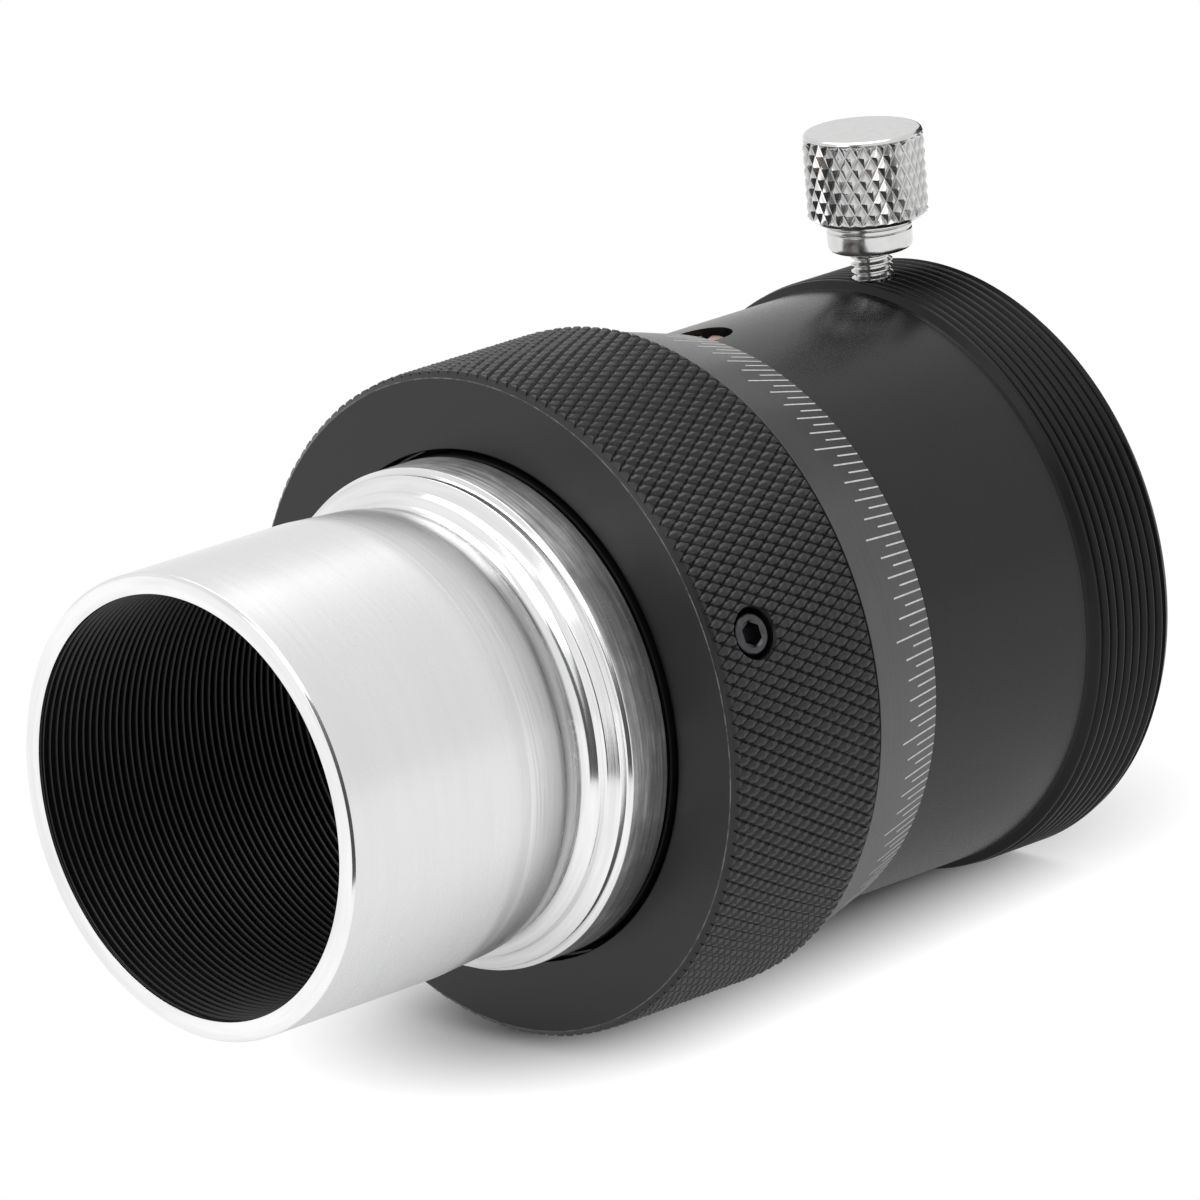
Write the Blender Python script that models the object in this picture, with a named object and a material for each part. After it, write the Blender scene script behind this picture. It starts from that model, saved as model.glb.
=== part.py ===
"""Helical focuser for a telescope, with a 31.75 mm (1.25 inch) nosepiece.

The optical axis is X: the nosepiece points to -X and the eyepiece side to +X.
The origin lies on the axis, in the plane of the shoulder that seats on the
telescope. The clamp thumbscrew stands up along +Z.

How it works: the grip ring, the scale ring and the helicoid nut turn as one on
the drawtube, held between two thrust washers. The nut's three-start helicoid
drives the housing along the axis, and a guide screw in the drawtube, running
in the housing's slot, keeps the housing from turning.
"""

from math import ceil, cos, pi, radians, sin, tan

import bmesh
import bpy
from mathutils import Matrix

MM = 0.001
TURN = 2 * pi

# Clearance between pieces that touch, and the bite of one shape into the shape it is joined with
RUNNING_GAP = 0.3 * MM
BITE = 0.2 * MM

# Facets of the large turned pieces, and of screws and holes
RING_FACETS = 52
SCREW_FACETS = 24

# Nosepiece: barrel, filter bore, undercut and the stepped shoulder behind it
BARREL_RADIUS = 15.875 * MM
BARREL_LENGTH = 24.2 * MM
BARREL_WALL = 1.475 * MM
RIM_CHAMFER = 0.3 * MM
UNDERCUT_START = 9.3 * MM
UNDERCUT_DEPTH = 0.775 * MM
COVE_RADIUS = 0.7 * MM
INNER_STEP_START = 2.2 * MM
INNER_STEP_END = 1.2 * MM
INNER_STEP_FACE = 0.05 * MM
OUTER_STEP_RISE = 0.95 * MM
STEP_CHAMFER = 0.15 * MM
FLANGE_RISE = 0.35 * MM
FLANGE_THICKNESS = 3.0 * MM
NOSE_SPIGOT_WALL = 1.5 * MM
NOSE_SPIGOT_LENGTH = 5.0 * MM

# Drawtube, which carries the nosepiece and the rotating ring
JOURNAL_WALL = 1.1 * MM
THRUST_FLANGE_THICKNESS = 2.8 * MM
WASHER_THICKNESS = 0.5 * MM
WASHER_EDGE = 0.1 * MM
DRAWTUBE_BORE_STEP = 0.5 * MM
DRAWTUBE_WALL = 1.7 * MM
DRAWTUBE_TAIL = 2.75 * MM

# Housing wall under its helicoid, and the helicoid: three starts, right-handed, trapezoidal ridges
HOUSING_WALL = 1.1 * MM
HELICOID_STARTS = 3
HELICOID_LEAD = 9.6 * MM
HELICOID_DEPTH = 0.8 * MM
FLANK_ANGLE = radians(30)
FOCUS_TRAVEL = 8.0 * MM

# Helicoid nut: a cup round the thrust flange, a web, and a threaded tail under the scale ring
NUT_TAIL_WALL = 0.9 * MM
NUT_SHOULDER = 1.3 * MM
NUT_CUP_WALL = 2.0 * MM
NUT_WEB = 1.07 * MM
NUT_THREAD_LENGTH = 12.25 * MM

# Grip ring, with the dark gap that shows between it and the nosepiece flange
RING_SHADOW_GAP = 0.56 * MM
RING_BORE_CLEARANCE = 0.35 * MM
RING_LENGTH = 13.9 * MM
RING_CHAMFER = 0.45 * MM
RING_WALL = 1.47 * MM
RING_FRONT_WALL = 1.4 * MM

# Scale ring, the cone behind the grip, which overhangs the nut
SCALE_STEP = 0.47 * MM
SCALE_EDGE_WALL = 0.385 * MM
SCALE_OVERHANG = 1.78 * MM

# Rear of the housing: the tube, and the eyepiece holder that closes it
TUBE_STEP = 0.375 * MM
HOLDER_WALL = 2.675 * MM
HOLDER_SPIGOT_LENGTH = 9.6 * MM
HOLDER_STOP_GAP = 1.2 * MM
COLLAR_LENGTH = 7.6 * MM
THREAD_RADIUS = 21.0 * MM
COLLAR_LEAD = 0.65 * MM
REAR_CHAMFER = 0.3 * MM
SOCKET_CLEARANCE = 0.05 * MM
SOCKET_DEPTH = 16.0 * MM
SOCKET_CHAMFER = 0.45 * MM
STOP_LIP_HEIGHT = 1.425 * MM

# M3 screws, as measured across the crests of their threads
M3_RADIUS = 1.45 * MM
POINT_CHAMFER = 0.3 * MM
FACE_CHAMFER = 0.1 * MM
GRUB_COUNT = 3
GRUB_SETBACK = 4.0 * MM
GRUB_ANGLE = radians(71.7)
GRUB_SUNK = 0.37 * MM
GRUB_POINT_GAP = 0.6 * MM
HEX_ACROSS_FLATS = 1.5 * MM
HEX_DEPTH = 1.3 * MM

# Guide screw: its head rides in the housing's slot
GUIDE_SETBACK = 3.37 * MM
GUIDE_ANGLE = radians(-3)
GUIDE_HEAD_RADIUS = 1.7 * MM
GUIDE_HEAD_HEIGHT = 3.0 * MM
GUIDE_STEM_LENGTH = 1.7 * MM
GUIDE_SLOT_SPARE = 0.3 * MM
DRIVER_SLOT_WIDTH = 0.7 * MM
DRIVER_SLOT_DEPTH = 0.8 * MM
DRIVER_SLOT_ANGLE = radians(28)

# Clamp thumbscrew and the soft tip that it pushes onto the eyepiece
CLAMP_SETBACK = 5.7 * MM
CLAMP_OPEN = 0.375 * MM
TIP_RADIUS = 1.2 * MM
TIP_LENGTH = 1.5 * MM
STEM_SHOWING = 1.95 * MM
NECK_RADIUS = 2.95 * MM
NECK_HEIGHT = 2.2 * MM
HEAD_RADIUS = 4.2 * MM
HEAD_HEIGHT = 6.2 * MM
HEAD_CHAMFER = 0.4 * MM

# Places along the axis that follow from the sizes above
ring_front = FLANGE_THICKNESS + RING_SHADOW_GAP
ring_rear = ring_front + RING_LENGTH
ring_wall_rear = ring_front + RING_FRONT_WALL
front_washer_start = ring_wall_rear + RUNNING_GAP
thrust_start = front_washer_start + WASHER_THICKNESS + RUNNING_GAP
thrust_end = thrust_start + THRUST_FLANGE_THICKNESS
rear_washer_start = thrust_end + RUNNING_GAP
web_front = rear_washer_start + WASHER_THICKNESS + RUNNING_GAP
web_rear = web_front + NUT_WEB
nut_rear = web_rear + NUT_THREAD_LENGTH
scale_front = ring_rear + RUNNING_GAP
scale_rear = nut_rear + SCALE_OVERHANG
housing_front = web_rear + RUNNING_GAP
neck_front = nut_rear + RUNNING_GAP
tube_front = scale_rear + RUNNING_GAP
guide_position = nut_rear + GUIDE_SETBACK
drawtube_end = guide_position + DRAWTUBE_TAIL
holder_front = drawtube_end + HOLDER_STOP_GAP
tube_end = holder_front + HOLDER_SPIGOT_LENGTH
collar_front = tube_end + RUNNING_GAP
rear_face = collar_front + COLLAR_LENGTH
grub_position = ring_front + GRUB_SETBACK
clamp_position = rear_face - CLAMP_SETBACK

# Radii of the nosepiece and of the drawtube that carries it
nose_bore = BARREL_RADIUS - BARREL_WALL
undercut = BARREL_RADIUS - UNDERCUT_DEPTH
inner_step = undercut + COVE_RADIUS + INNER_STEP_FACE + STEP_CHAMFER
outer_step = inner_step + OUTER_STEP_RISE
flange_radius = outer_step + FLANGE_RISE
nose_spigot_radius = nose_bore + NOSE_SPIGOT_WALL
nose_socket_radius = nose_spigot_radius + RUNNING_GAP
journal_radius = nose_socket_radius + JOURNAL_WALL
drawtube_bore = nose_bore + DRAWTUBE_BORE_STEP
drawtube_radius = drawtube_bore + DRAWTUBE_WALL

# Radii from the drawtube outward, through the helicoid to the rings
housing_bore = drawtube_radius + RUNNING_GAP
male_root = housing_bore + HOUSING_WALL
male_crest = male_root + HELICOID_DEPTH
female_crest = male_root + RUNNING_GAP
female_root = male_crest + RUNNING_GAP
nut_tail_radius = female_root + NUT_TAIL_WALL
nut_outer = nut_tail_radius + NUT_SHOULDER
cup_inner = nut_outer - NUT_CUP_WALL
thrust_flange_radius = cup_inner - RUNNING_GAP
washer_outer = thrust_flange_radius - WASHER_EDGE
ring_bore = journal_radius + RING_BORE_CLEARANCE
ring_inner = nut_outer + RUNNING_GAP
ring_radius = ring_inner + RING_WALL
scale_front_radius = ring_radius - SCALE_STEP
scale_inner = nut_tail_radius + RUNNING_GAP
scale_rear_radius = scale_inner + SCALE_EDGE_WALL
tube_radius = scale_rear_radius - TUBE_STEP

# Radii of the eyepiece holder, and of the screws and their holes
socket_radius = BARREL_RADIUS + SOCKET_CLEARANCE
stop_lip_radius = socket_radius - STOP_LIP_HEIGHT
holder_spigot_radius = socket_radius + HOLDER_WALL
holder_pocket = holder_spigot_radius + RUNNING_GAP
m3_hole = M3_RADIUS + RUNNING_GAP
guide_slot_radius = GUIDE_HEAD_RADIUS + RUNNING_GAP
tip_low = socket_radius + CLAMP_OPEN
stem_low = tip_low + TIP_LENGTH + RUNNING_GAP
neck_low = THREAD_RADIUS + STEM_SHOWING
cutter_top = ring_radius + 3 * RUNNING_GAP

# Spacing of the helicoid's ridges along the axis
ridge_pitch = HELICOID_LEAD / HELICOID_STARTS
flank_gap = RUNNING_GAP / cos(FLANK_ANGLE)
middle_radius = (male_root + female_root) / 2
middle_half_ridge = (ridge_pitch - 2 * flank_gap) / 4


def clear_scene():
    for old in list(bpy.data.objects):
        bpy.data.objects.remove(old, do_unlink=True)


def metal(name, colour, roughness, metallic=1.0):
    """Principled material for one piece."""
    material = bpy.data.materials.new(name)
    material.use_nodes = True
    shader = material.node_tree.nodes["Principled BSDF"]
    shader.inputs["Base Color"].default_value = (*colour, 1.0)
    shader.inputs["Roughness"].default_value = roughness
    shader.inputs["Metallic"].default_value = metallic
    return material


def object_from(name, shape, material=None):
    """Turn a bmesh into an object, with its faces outward and its curved sides smooth."""
    bmesh.ops.recalc_face_normals(shape, faces=shape.faces)
    mesh = bpy.data.meshes.new(name)
    shape.to_mesh(mesh)
    shape.free()
    mesh.shade_smooth()
    mesh.set_sharp_from_angle(angle=radians(32))
    if material:
        mesh.materials.append(material)
    result = bpy.data.objects.new(name, mesh)
    bpy.context.collection.objects.link(result)
    return result


def turned_ring(name, outline, material=None):
    """Spin a closed outline of (x, radius) points about the X axis."""
    shape = bmesh.new()
    points = [shape.verts.new((x, 0, radius)) for x, radius in outline]
    sides = [shape.edges.new((points[i - 1], points[i])) for i in range(len(points))]
    bmesh.ops.spin(
        shape, geom=points + sides, cent=(0, 0, 0), axis=(1, 0, 0),
        angle=TURN, steps=RING_FACETS, use_merge=True,
    )
    return object_from(name, shape, material)


def turned_pin(name, outline, material=None, facets=SCREW_FACETS):
    """Build a solid pin along Z from (radius, z) points, given from its low end to its top."""
    shape = bmesh.new()
    rings = []
    for radius, z in outline:
        angles = [TURN * i / facets for i in range(facets)]
        rings.append([shape.verts.new((radius * cos(a), radius * sin(a), z)) for a in angles])
    for low, high in zip(rings, rings[1:]):
        for i in range(facets):
            shape.faces.new((low[i - 1], low[i], high[i], high[i - 1]))
    shape.faces.new(list(reversed(rings[0])))
    shape.faces.new(rings[-1])
    return object_from(name, shape, material)


def as_tool(tool):
    """Keep a cutter or a joined shape out of the finished model."""
    tool.hide_render = True
    tool.display_type = "WIRE"
    return tool


def combine(target, tool, operation):
    step = target.modifiers.new(tool.name, "BOOLEAN")
    step.operation = operation
    step.solver = "EXACT"
    step.object = as_tool(tool)


def radial_hole(name, x, low, high, radius):
    """Cutter for a hole drilled toward the axis, straight down from +Z."""
    cutter = turned_pin(name, [(radius, low), (radius, high)])
    cutter.location.x = x
    return cutter


def arc(centre, radius, start, end, steps):
    """Points of a circular arc in an outline, from one angle to another."""
    angles = [start + (end - start) * i / steps for i in range(steps + 1)]
    return [(centre[0] + radius * cos(a), centre[1] + radius * sin(a)) for a in angles]


def helical_sleeve(name, corners, plain_radius):
    """Closed sleeve with helicoid ridges on one side and a plain wall on the other.

    corners are the (offset, radius) points of one ridge and its groove, in order
    along the axis. Each column of points is one facet further round and climbs
    by its share of the lead, so the last column meets the first one again a
    whole number of ridges higher. It reaches well past the web and the neck, and
    starts at the same place for the nut and the housing, so that they mesh. The
    columns lie between those of the turned rings, so that no edges coincide.
    """
    per_ridge = len(corners)
    wrap = per_ridge * HELICOID_STARTS
    first = web_front - HELICOID_LEAD
    ridges = ceil((tube_front - web_front + 2 * HELICOID_LEAD) / ridge_pitch)
    rows = per_ridge * ridges
    shape = bmesh.new()
    ridged, plain = [], []
    for column in range(RING_FACETS):
        share = (column + 0.5) / RING_FACETS
        angle = TURN * share
        ridged.append([])
        plain.append([])
        for row in range(rows + 1):
            offset, radius = corners[row % per_ridge]
            x = first + HELICOID_LEAD * share + ridge_pitch * (row // per_ridge) + offset
            ridged[-1].append(shape.verts.new((x, -radius * sin(angle), radius * cos(angle))))
            plain[-1].append(shape.verts.new((x, -plain_radius * sin(angle), plain_radius * cos(angle))))
    for wall in (ridged, plain):
        for column in range(RING_FACETS - 1):
            for row in range(rows):
                here, following = wall[column], wall[column + 1]
                shape.faces.new((here[row], here[row + 1], following[row + 1], following[row]))
        for row in range(rows - wrap):
            last, first = wall[-1], wall[0]
            shape.faces.new((last[row], last[row + 1], first[row + 1 + wrap], first[row + wrap]))
    low_edge = [(column, 0) for column in range(RING_FACETS)] + [(0, row) for row in range(wrap, 0, -1)]
    high_edge = [(column, rows) for column in range(RING_FACETS)]
    high_edge += [(RING_FACETS - 1, row) for row in range(rows - 1, rows - wrap - 1, -1)]
    for edge in (low_edge, high_edge):
        for (c0, r0), (c1, r1) in zip(edge, edge[1:] + edge[:1]):
            shape.faces.new((ridged[c0][r0], ridged[c1][r1], plain[c1][r1], plain[c0][r0]))
    return object_from(name, shape)


def trimmed_helicoid(name, corners, plain_radius, start, end):
    """Helical sleeve cut square to its length."""
    sleeve = helical_sleeve(name, corners, plain_radius)
    radii = [radius for offset, radius in corners] + [plain_radius]
    low, high = min(radii) - BITE, max(radii) + BITE
    trim = turned_ring(f"{name}_length", [(start, low), (start, high), (end, high), (end, low)])
    combine(sleeve, trim, "INTERSECT")
    return sleeve


def half_ridge(radius, widened=0.0):
    """Half the width of the housing's ridge at a radius, or of the nut's groove round it."""
    return middle_half_ridge + widened - (radius - middle_radius) * tan(FLANK_ANGLE)


def ridge_corners(crest, root, widened=0.0):
    at_crest = half_ridge(crest, widened)
    at_root = half_ridge(root, widened)
    return [(-at_crest, crest), (at_crest, crest), (at_root, root), (ridge_pitch - at_root, root)]


def build_nosepiece(finish):
    cove_start = -INNER_STEP_START - COVE_RADIUS
    outline = [
        (-BARREL_LENGTH, nose_bore + RIM_CHAMFER),
        (-BARREL_LENGTH, BARREL_RADIUS - RIM_CHAMFER),
        (RIM_CHAMFER - BARREL_LENGTH, BARREL_RADIUS),
        (-UNDERCUT_START, BARREL_RADIUS),
    ]
    outline += arc((cove_start, undercut + COVE_RADIUS), COVE_RADIUS, -pi / 2, 0, 3)
    outline += [
        (-INNER_STEP_START, inner_step - STEP_CHAMFER),
        (STEP_CHAMFER - INNER_STEP_START, inner_step),
        (-INNER_STEP_END, inner_step),
        (-INNER_STEP_END, outer_step - STEP_CHAMFER),
        (STEP_CHAMFER - INNER_STEP_END, outer_step),
        (-STEP_CHAMFER, outer_step),
        (0, flange_radius),
        (FLANGE_THICKNESS, flange_radius),
        (FLANGE_THICKNESS, nose_spigot_radius),
        (FLANGE_THICKNESS + NOSE_SPIGOT_LENGTH, nose_spigot_radius),
        (FLANGE_THICKNESS + NOSE_SPIGOT_LENGTH, nose_bore),
        (RIM_CHAMFER - BARREL_LENGTH, nose_bore),
    ]
    return turned_ring("nosepiece", outline, finish)


def build_drawtube(finish):
    front = FLANGE_THICKNESS + RUNNING_GAP
    socket_floor = FLANGE_THICKNESS + NOSE_SPIGOT_LENGTH + RUNNING_GAP
    outline = [
        (front, nose_socket_radius),
        (front, journal_radius),
        (thrust_start, journal_radius),
        (thrust_start, thrust_flange_radius),
        (thrust_end, thrust_flange_radius),
        (thrust_end, drawtube_radius),
        (drawtube_end, drawtube_radius),
        (drawtube_end, drawtube_bore),
        (socket_floor, drawtube_bore),
        (socket_floor, nose_socket_radius),
    ]
    drawtube = turned_ring("drawtube", outline, finish)
    hole_low = drawtube_bore - 3 * RUNNING_GAP
    hole_high = drawtube_radius + RUNNING_GAP
    guide_hole = radial_hole("guide_hole", guide_position, hole_low, hole_high, m3_hole)
    guide_hole.rotation_euler.x = GUIDE_ANGLE
    combine(drawtube, guide_hole, "DIFFERENCE")
    return drawtube


def build_guide_screw(finish):
    head_low = drawtube_radius + RUNNING_GAP
    head_top = head_low + GUIDE_HEAD_HEIGHT
    outline = [
        (M3_RADIUS - POINT_CHAMFER, head_low - GUIDE_STEM_LENGTH),
        (M3_RADIUS, head_low - GUIDE_STEM_LENGTH + POINT_CHAMFER),
        (M3_RADIUS, head_low),
        (GUIDE_HEAD_RADIUS, head_low),
        (GUIDE_HEAD_RADIUS, head_top - FACE_CHAMFER),
        (GUIDE_HEAD_RADIUS - FACE_CHAMFER, head_top),
    ]
    screw = turned_pin("guide_screw", outline, finish)
    shape = bmesh.new()
    bmesh.ops.create_cube(shape, size=1)
    reach = 2 * GUIDE_HEAD_RADIUS + RUNNING_GAP
    bmesh.ops.scale(shape, verts=shape.verts, vec=(reach, DRIVER_SLOT_WIDTH, 2 * DRIVER_SLOT_DEPTH))
    bmesh.ops.rotate(shape, verts=shape.verts, matrix=Matrix.Rotation(DRIVER_SLOT_ANGLE, 3, "Z"))
    bmesh.ops.translate(shape, verts=shape.verts, vec=(0, 0, head_top))
    driver_slot = object_from("driver_slot", shape)
    for piece in (screw, driver_slot):
        piece.location.x = guide_position
        piece.rotation_euler.x = GUIDE_ANGLE
    combine(screw, driver_slot, "DIFFERENCE")
    return screw


def build_thrust_washer(name, start, bore, finish):
    end = start + WASHER_THICKNESS
    return turned_ring(name, [(start, bore), (start, washer_outer), (end, washer_outer), (end, bore)], finish)


def build_grub_holes():
    """One cutter for the screws that lock the grip ring to the nut."""
    shape = bmesh.new()
    depth = cutter_top - thrust_flange_radius
    for i in range(GRUB_COUNT):
        made = bmesh.ops.create_cone(
            shape, segments=SCREW_FACETS, cap_ends=True, radius1=m3_hole, radius2=m3_hole, depth=depth,
        )["verts"]
        bmesh.ops.translate(shape, verts=made, vec=(grub_position, 0, thrust_flange_radius + depth / 2))
        angle = GRUB_ANGLE + TURN * i / GRUB_COUNT
        for point in made:
            y, z = point.co.y, point.co.z
            point.co.y = y * cos(angle) - z * sin(angle)
            point.co.z = y * sin(angle) + z * cos(angle)
    return object_from("grub_holes", shape)


def build_grip_ring(finish, grub_holes):
    outline = [
        (ring_front, ring_bore),
        (ring_front, ring_radius - RING_CHAMFER),
        (ring_front + RING_CHAMFER, ring_radius),
        (ring_rear, ring_radius),
        (ring_rear, ring_inner),
        (ring_wall_rear, ring_inner),
        (ring_wall_rear, ring_bore),
    ]
    ring = turned_ring("grip_ring", outline, finish)
    combine(ring, grub_holes, "DIFFERENCE")
    return ring


def build_scale_ring(finish):
    outline = [
        (scale_front, scale_inner),
        (scale_front, scale_front_radius),
        (scale_rear, scale_rear_radius),
        (scale_rear, scale_inner),
    ]
    return turned_ring("scale_ring", outline, finish)


def build_helicoid_nut(finish, grub_holes):
    blank_bore = female_root + BITE
    outline = [
        (front_washer_start, cup_inner),
        (front_washer_start, nut_outer),
        (ring_rear, nut_outer),
        (ring_rear, nut_tail_radius),
        (nut_rear, nut_tail_radius),
        (nut_rear, blank_bore),
        (web_rear, blank_bore),
        (web_rear, housing_bore),
        (web_front, housing_bore),
        (web_front, cup_inner),
    ]
    nut = turned_ring("helicoid_nut", outline, finish)
    grooves = ridge_corners(female_root, female_crest, flank_gap)
    lead_in = nut_rear - RUNNING_GAP
    thread = trimmed_helicoid("nut_helicoid", grooves, blank_bore + BITE, web_rear - BITE, lead_in)
    combine(nut, thread, "UNION")
    combine(nut, grub_holes, "DIFFERENCE")
    return nut


def build_grub_screws(finish):
    low = thrust_flange_radius + GRUB_POINT_GAP
    high = ring_radius - GRUB_SUNK
    outline = [
        (M3_RADIUS - POINT_CHAMFER, low),
        (M3_RADIUS, low + POINT_CHAMFER),
        (M3_RADIUS, high - FACE_CHAMFER),
        (M3_RADIUS - FACE_CHAMFER, high),
    ]
    hex_radius = HEX_ACROSS_FLATS / 2 / cos(pi / 6)
    hex_outline = [(hex_radius, high - HEX_DEPTH), (hex_radius, high + RUNNING_GAP)]
    screws = []
    for i in range(GRUB_COUNT):
        screw = turned_pin(f"grub_screw_{i + 1}", outline, finish)
        key = turned_pin(f"hex_socket_{i + 1}", hex_outline, facets=6)
        for piece in (screw, key):
            piece.location.x = grub_position
            piece.rotation_euler.x = GRUB_ANGLE + TURN * i / GRUB_COUNT
        combine(screw, key, "DIFFERENCE")
        screws.append(screw)
    return screws


def build_body_tube(finish):
    blank_radius = male_root - BITE
    outline = [
        (housing_front, housing_bore),
        (housing_front, blank_radius),
        (neck_front, blank_radius),
        (neck_front, nut_tail_radius),
        (tube_front, nut_tail_radius),
        (tube_front, tube_radius),
        (tube_end, tube_radius),
        (tube_end, holder_pocket),
        (holder_front - RUNNING_GAP, holder_pocket),
        (holder_front - RUNNING_GAP, housing_bore),
    ]
    tube = turned_ring("body_tube", outline, finish)
    ridges = ridge_corners(male_crest, male_root)
    lead_in = housing_front + RUNNING_GAP
    thread = trimmed_helicoid("housing_helicoid", ridges, blank_radius - BITE, lead_in, neck_front + BITE)
    combine(tube, thread, "UNION")
    combine(tube, build_guide_slot(), "DIFFERENCE")
    return tube


def build_guide_slot():
    """Cutter for the round-ended slot, long enough for the guide screw's whole travel."""
    rear = guide_position + GUIDE_SLOT_SPARE
    front = guide_position - FOCUS_TRAVEL
    half_turn = SCREW_FACETS // 2
    outline = arc((rear, 0), guide_slot_radius, -pi / 2, pi / 2, half_turn)
    outline += arc((front, 0), guide_slot_radius, pi / 2, 3 * pi / 2, half_turn)
    low, high = drawtube_bore, ring_radius
    shape = bmesh.new()
    floor = shape.faces.new([shape.verts.new((x, y, low)) for x, y in outline])
    raised = bmesh.ops.extrude_face_region(shape, geom=[floor])["geom"]
    top = [item for item in raised if isinstance(item, bmesh.types.BMVert)]
    bmesh.ops.translate(shape, verts=top, vec=(0, 0, high - low))
    guide_slot = object_from("guide_slot", shape)
    guide_slot.rotation_euler.x = GUIDE_ANGLE
    return guide_slot


def build_eyepiece_holder(finish):
    socket_floor = rear_face - SOCKET_DEPTH
    outline = [
        (holder_front, stop_lip_radius),
        (holder_front, holder_spigot_radius),
        (collar_front, holder_spigot_radius),
        (collar_front, tube_radius),
        (collar_front + COLLAR_LEAD, THREAD_RADIUS),
        (rear_face - REAR_CHAMFER, THREAD_RADIUS),
        (rear_face, THREAD_RADIUS - REAR_CHAMFER),
        (rear_face, socket_radius + SOCKET_CHAMFER),
        (rear_face - SOCKET_CHAMFER, socket_radius),
        (socket_floor, socket_radius),
        (socket_floor, stop_lip_radius),
    ]
    holder = turned_ring("eyepiece_holder", outline, finish)
    hole_low = stop_lip_radius
    combine(holder, radial_hole("clamp_hole", clamp_position, hole_low, cutter_top, m3_hole), "DIFFERENCE")
    return holder


def build_clamp_tip(finish):
    outline = [
        (TIP_RADIUS - POINT_CHAMFER, tip_low),
        (TIP_RADIUS, tip_low + POINT_CHAMFER),
        (TIP_RADIUS, tip_low + TIP_LENGTH),
    ]
    return turned_pin("clamp_tip", outline, finish)


def build_thumbscrew(finish):
    head_low = neck_low + NECK_HEIGHT
    head_top = head_low + HEAD_HEIGHT
    outline = [
        (M3_RADIUS - POINT_CHAMFER, stem_low),
        (M3_RADIUS, stem_low + POINT_CHAMFER),
        (M3_RADIUS, neck_low),
    ]
    outline += arc((NECK_RADIUS - HEAD_CHAMFER, neck_low + HEAD_CHAMFER), HEAD_CHAMFER, -pi / 2, 0, 3)
    outline += [
        (NECK_RADIUS, head_low),
        (HEAD_RADIUS - HEAD_CHAMFER, head_low),
        (HEAD_RADIUS, head_low + HEAD_CHAMFER),
        (HEAD_RADIUS, head_top - HEAD_CHAMFER),
        (HEAD_RADIUS - HEAD_CHAMFER, head_top),
    ]
    return turned_pin("thumbscrew", outline, finish)


def carrier(name, x=0.0, parent=None):
    """Empty on a joint's axis that carries the pieces of one moving body."""
    empty = bpy.data.objects.new(name, None)
    empty.empty_display_type = "ARROWS"
    empty.empty_display_size = ring_radius
    empty.location.x = x
    empty.parent = parent
    bpy.context.collection.objects.link(empty)
    return empty


def build_focuser():
    clear_scene()
    bright = metal("turned_aluminium", (0.78, 0.78, 0.77), 0.25)
    black = metal("black_anodised", (0.025, 0.025, 0.027), 0.42)
    grey = metal("scale_anodised", (0.055, 0.055, 0.058), 0.38)
    bronze = metal("bronze", (0.48, 0.29, 0.21), 0.35)
    steel = metal("blackened_steel", (0.10, 0.10, 0.11), 0.4)
    nickel = metal("nickel", (0.72, 0.71, 0.69), 0.18)
    slippery = metal("washer_plastic", (0.75, 0.75, 0.73), 0.5, metallic=0.0)
    soft = metal("tip_plastic", (0.70, 0.69, 0.65), 0.45, metallic=0.0)

    build_nosepiece(bright)
    build_drawtube(black)
    build_guide_screw(bronze)

    ring_carrier = carrier("ring_carrier")
    grub_holes = build_grub_holes()
    ring_pieces = [
        build_grip_ring(black, grub_holes),
        build_scale_ring(grey),
        build_helicoid_nut(black, grub_holes),
        build_thrust_washer("front_thrust_washer", front_washer_start, journal_radius + RUNNING_GAP, slippery),
        build_thrust_washer("rear_thrust_washer", rear_washer_start, housing_bore, slippery),
        *build_grub_screws(steel),
    ]
    housing_carrier = carrier("housing_carrier")
    housing_pieces = [build_body_tube(black), build_eyepiece_holder(black)]
    clamp_carrier = carrier("clamp_carrier", clamp_position, housing_carrier)
    clamp_pieces = [build_clamp_tip(soft), build_thumbscrew(nickel)]

    for parent, pieces in (
        (ring_carrier, ring_pieces + [grub_holes]),
        (housing_carrier, housing_pieces),
        (clamp_carrier, clamp_pieces),
    ):
        for piece in pieces:
            piece.parent = parent


build_focuser()
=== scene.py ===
"""Looks of a helical focuser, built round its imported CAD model.

The optical axis is X, the nosepiece points to -X and the clamp thumbscrew
stands up along +Z. Angles round the axis start at +Z and grow toward -Y.
"""

import math
import random

import bmesh
import bpy
from mathutils import Matrix, Vector


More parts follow.
